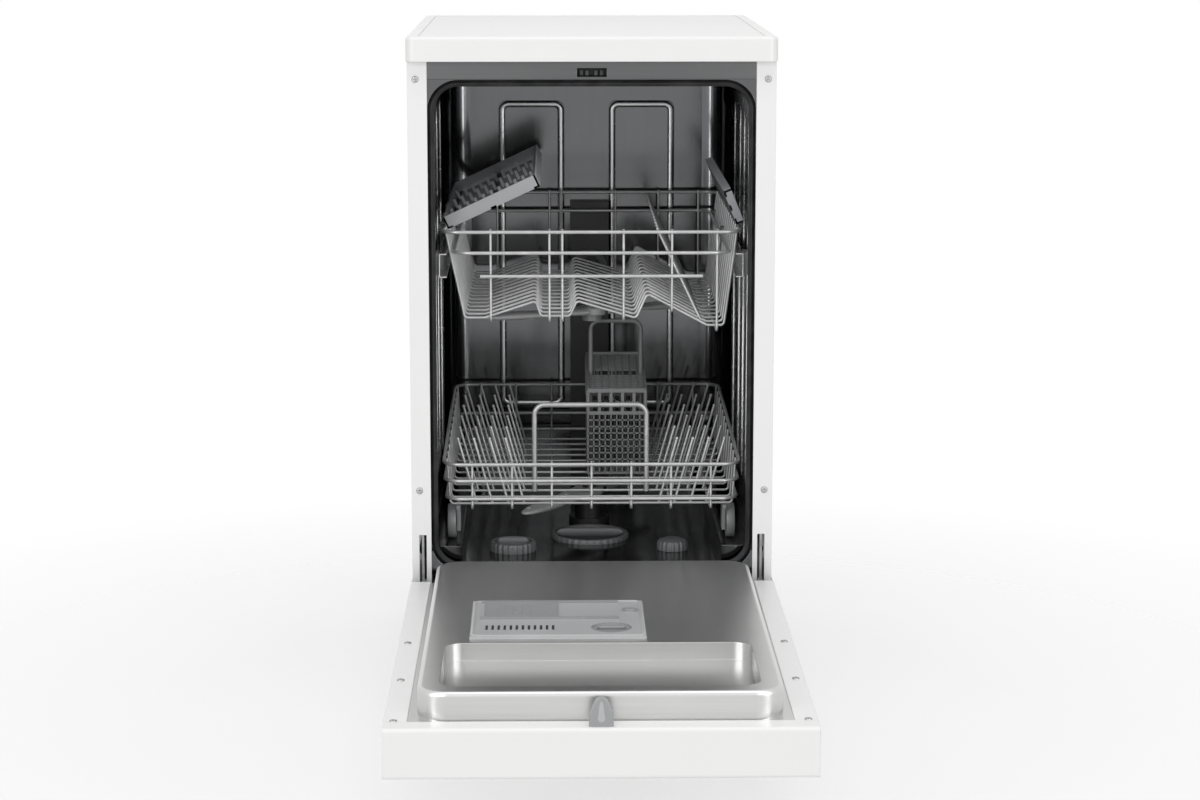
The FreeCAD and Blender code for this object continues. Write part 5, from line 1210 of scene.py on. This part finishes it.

# %% [markdown]
# ## Pressed ribs and beads of the tub
# Thin sheet is stiffened by ribs pressed round two tall fields of the tub's back, and by low upright beads
# on its side walls. A half-round section carried round each field and up the walls is enough, because its
# steep sides mirror the lamps. They are pressed from the tub's own sheet, but wear a much lighter steel, as
# a painted highlight.

# %% Ribs of the tub's back
RIB_HALF, RIB_TALL, RIB_SUNK = 0.0045, 0.0028, 0.0005
FIELD_NEAR, FIELD_WIDE = 0.0315, 0.091
FIELD_LOW, FIELD_HIGH = 0.300, 0.733
FIELD_FACE, FIELD_CORNER = 0.582, 0.009
rib_turn = np.linspace(0.0, np.pi, 9)
rib_section = np.vstack([np.stack([RIB_HALF * np.cos(rib_turn), RIB_TALL * np.sin(rib_turn)], axis=1),
                         (-RIB_HALF, -RIB_SUNK), (RIB_HALF, -RIB_SUNK)])
field_loop = rounded_loop(FIELD_WIDE / 2 - RIB_HALF, (FIELD_HIGH - FIELD_LOW) / 2 - RIB_HALF, FIELD_CORNER)
field_middle = (FIELD_NEAR + FIELD_WIDE / 2, FIELD_FACE, (FIELD_LOW + FIELD_HIGH) / 2)
rib = [carried(np.insert(field_loop, 1, 0.0, axis=1) + field_middle, rib_section, -BACK, closed=True)]
make_piece("pressed_ribs", rib + mirrored(rib), rib_steel, "cabinet")

# %% [markdown]
# The upper rack and its folded shelves slide close past the side walls, so the beads there are thinner from
# the rack's rim upwards.

# %% Beads of the tub's side walls
WALL_FACE = 0.2
BEAD_DEPTHS = (0.179, 0.259, 0.339, 0.449)
BEAD_LOW, BEAD_HIGH = 0.262, 0.742
BEAD_FULL, BEAD_THIN, THIN_LOSS = 0.578, 0.596, 0.6
BEAD_STATIONS = 33
bead_heights = np.linspace(BEAD_LOW, BEAD_HIGH, BEAD_STATIONS)
bead_swell = 1 - THIN_LOSS * ramp((bead_heights - BEAD_FULL) / (BEAD_THIN - BEAD_FULL))
bead_reach = (BEAD_HIGH - BEAD_LOW) / 2 * UP
bead_middles = grid_of(WALL_FACE, BEAD_DEPTHS, (BEAD_LOW + BEAD_HIGH) / 2)
wall_beads = [blunt_bar(place, bead_reach, rib_section, -RIGHT, 20, BEAD_STATIONS, bead_swell)
              for place in bead_middles]
make_piece("wall_beads", wall_beads + mirrored(wall_beads), rib_steel, "cabinet")

# %% [markdown]
# ## Spray port
# Where the rack's feed pipe docks, the conduit on the tub's back has a port with stepped rings. They are
# turned about the pipe's axis.

# %% Spray port
PORT_HEIGHT, PORT_PIPE, PORT_RADIUS, PORT_SUNK = 0.501, 0.0155, 0.025, 0.005
PORT_PROFILE = [(PORT_PIPE, 0.0), (PORT_PIPE, 0.0046), (PORT_PIPE + 0.0018, 0.0048),
                (PORT_PIPE + 0.0026, 0.003), (PORT_RADIUS - 0.004, 0.003), (PORT_RADIUS - 0.003, 0.0042),
                (PORT_RADIUS - 0.0006, 0.0042), (PORT_RADIUS, 0.0034), (PORT_RADIUS, -0.0004)]
conduit_low, conduit_high = corners_of("spray_conduit")
port_centre = ((conduit_low[0] + conduit_high[0]) / 2, conduit_low[1] + PORT_SUNK, PORT_HEIGHT)
make_piece("spray_port_ring", [turned(PORT_PROFILE, port_centre, -BACK, sides=64)], dark_grey_plastic,
           "cabinet")

# %% [markdown]
# ## Back panel
# The back is one thin zinc sheet, so the press gives it a long bead round its field and another across the
# middle. It is held by a row of screws down each side.

# %% Back panel
BACK_MARGIN, BACK_CORNER = 0.032, 0.03
SCREW_INSET, SCREW_MARGIN, SCREW_TALL = 0.012, 0.02, 0.0018
back_low, back_high = corners_of("back_panel")
back_half = (back_high - back_low) / 2
back_face = back_high - back_half * (1.0, 0.0, 1.0)
back_loop = rounded_loop(*(back_half[[0, 2]] - BACK_MARGIN), BACK_CORNER)
back_path = np.insert(back_loop, 1, 0.0, axis=1) + back_face
cross_bead = blunt_bar(back_face, (back_half[0] - 2 * BACK_MARGIN) * RIGHT, rib_section, BACK, power=12)
make_piece("back_beads", [carried(back_path, rib_section, BACK, closed=True), cross_bead], zinc, "cabinet")
back_places = grid_of((back_low[0] + SCREW_INSET, back_high[0] - SCREW_INSET), back_high[1],
                      np.linspace(back_low[2] + SCREW_MARGIN, back_high[2] - SCREW_MARGIN, 4))
make_piece("back_screws", pan_heads(back_places, BACK, SCREW_TALL), screw_steel, "cabinet")

# %% [markdown]
# ## Kick shield
# A slot stays open between the plinth and the closed door, because the door's heel swings through it. A
# black sheet behind it hides the works and is painted shade in the slot. It is one flat bar.

# %% Kick shield
SHIELD_HALF, SHIELD_DEPTH, SHIELD_THICK = 0.186, 0.078, 0.002
SHIELD_LAP, SHIELD_GAP = 0.008, 0.002
shield_low = corners_of("plinth")[1][2] - SHIELD_LAP
shield_high = corners_of("tub_shell")[0][2] - SHIELD_GAP
shield_end = np.array([SHIELD_HALF, SHIELD_DEPTH, (shield_low + shield_high) / 2])
shield = bars(shield_end * (-1.0, 1.0, 1.0), shield_end, SHIELD_THICK, shield_high - shield_low, UP)
make_piece("kick_shield", [shield], black_plastic, "cabinet")

# %% [markdown]
# ## Tips of the tines
# Dipping leaves a drop of nylon at the free end of each tine. Each tip is a small turned bead that sits on
# the wire's end and points along it.

# %% Tine tips
TIP_RADIUS, TIP_STRETCH = 0.0021, 1.15
FRONT = 0.049
PLATE_TINE_X = 0.108 + 0.02 * np.arange(4)
PLATE_TINE_Y = FRONT + 0.0653 + 0.078 * np.arange(6)
PLATE_TINE_TOP, PLATE_TINE_LEAN = 0.342, np.array([0.27, 0.0, 0.963])
CUP_TINE_Y = FRONT + 0.0673 + 0.033 * np.arange(14)
CUP_TINE_X, CUP_TINE_TOP, CUP_TINE_LEAN = 0.084, 0.604, np.array([-0.45, 0.0, 0.89])
tip_turn = np.linspace(0.0, np.pi, 9)
TIP_PROFILE = TIP_RADIUS * np.stack([np.sin(tip_turn), -TIP_STRETCH * np.cos(tip_turn)], axis=1)


def tips(places, lean):
    """A drop at each place, turned about the tine's direction."""
    return [turned(TIP_PROFILE, place, lean, sides=12) for place in places]


plate_tips = tips(grid_of(PLATE_TINE_X, PLATE_TINE_Y, PLATE_TINE_TOP), PLATE_TINE_LEAN)
make_piece("lower_tine_tips", plate_tips + mirrored(plate_tips), wire_coat, "lower_rack")
cup_tips = tips(grid_of(CUP_TINE_X, CUP_TINE_Y, CUP_TINE_TOP), CUP_TINE_LEAN)
make_piece("upper_tine_tips", cup_tips, wire_coat, "upper_rack")

# %% [markdown]
# ## Floor and world
# The floor is one pale sheet that takes the machine's soft shadow. Its finish has a faint unevenness so
# that the shadow doesn't look printed, and it clears away with distance from the machine, so that no edge
# or horizon shows.

# %% Floor
FLOOR_REACH = 6.0
FLOOR_FULL, FLOOR_GONE = 0.55, 1.4
FLOOR_COVER = 0.5
PURE_WHITE = (1.0, 1.0, 1.0)
floor_finish = Finish("pale_floor")
floor_cloud = floor_finish.noise(waves=2.0, detail=4.0)
floor_far = floor_finish.node("ShaderNodeVectorMath", {"operation": "LENGTH"}, {0: floor_finish.place},
                              "Value")
floor_clear = floor_finish.stain(floor_far, FLOOR_FULL, FLOOR_GONE)
floor_finish.surface(Base_Color=floor_finish.tint(floor_cloud, PURE_WHITE, darkest=0.96, lightest=0.985),
                     Roughness=0.6 + 0.1 * floor_cloud,
                     Alpha=FLOOR_COVER - FLOOR_COVER * floor_clear)
floor_corners = FLOOR_REACH * np.array([(-1, -1, 0), (1, -1, 0), (1, 1, 0), (-1, 1, 0)])
floor_mesh = bpy.data.meshes.new("floor")
floor_mesh.from_pydata(floor_corners.tolist(), [], [(0, 1, 2, 3)])
floor = bpy.data.objects.new("floor", floor_mesh)
bpy.context.scene.collection.objects.link(floor)
wear(floor, floor_finish)
print("floor reaches", FLOOR_REACH, "metres each way")

# %% [markdown]
# The world is plain white to the camera, in mirrors and through clear things. As a lamp it is dimmer, so
# that it fills the shadows without washing them out.

# %% World
WORLD_LIGHT = 0.62
world = bpy.data.worlds.new("pale_studio")
bpy.context.scene.world = world
sky = Web(world, "Background")
camera_ray, glossy_ray, clear_ray = (sky.node("ShaderNodeLightPath", {}, {}, f"Is {kind} Ray")
                                     for kind in ("Camera", "Glossy", "Transmission"))
seen = sky.stain(camera_ray + glossy_ray + clear_ray, 0.0, 1.0)
sky.surface(Color=(*PURE_WHITE, 1.0), Strength=WORLD_LIGHT + (1 - WORLD_LIGHT) * seen)
print("world light", WORLD_LIGHT)
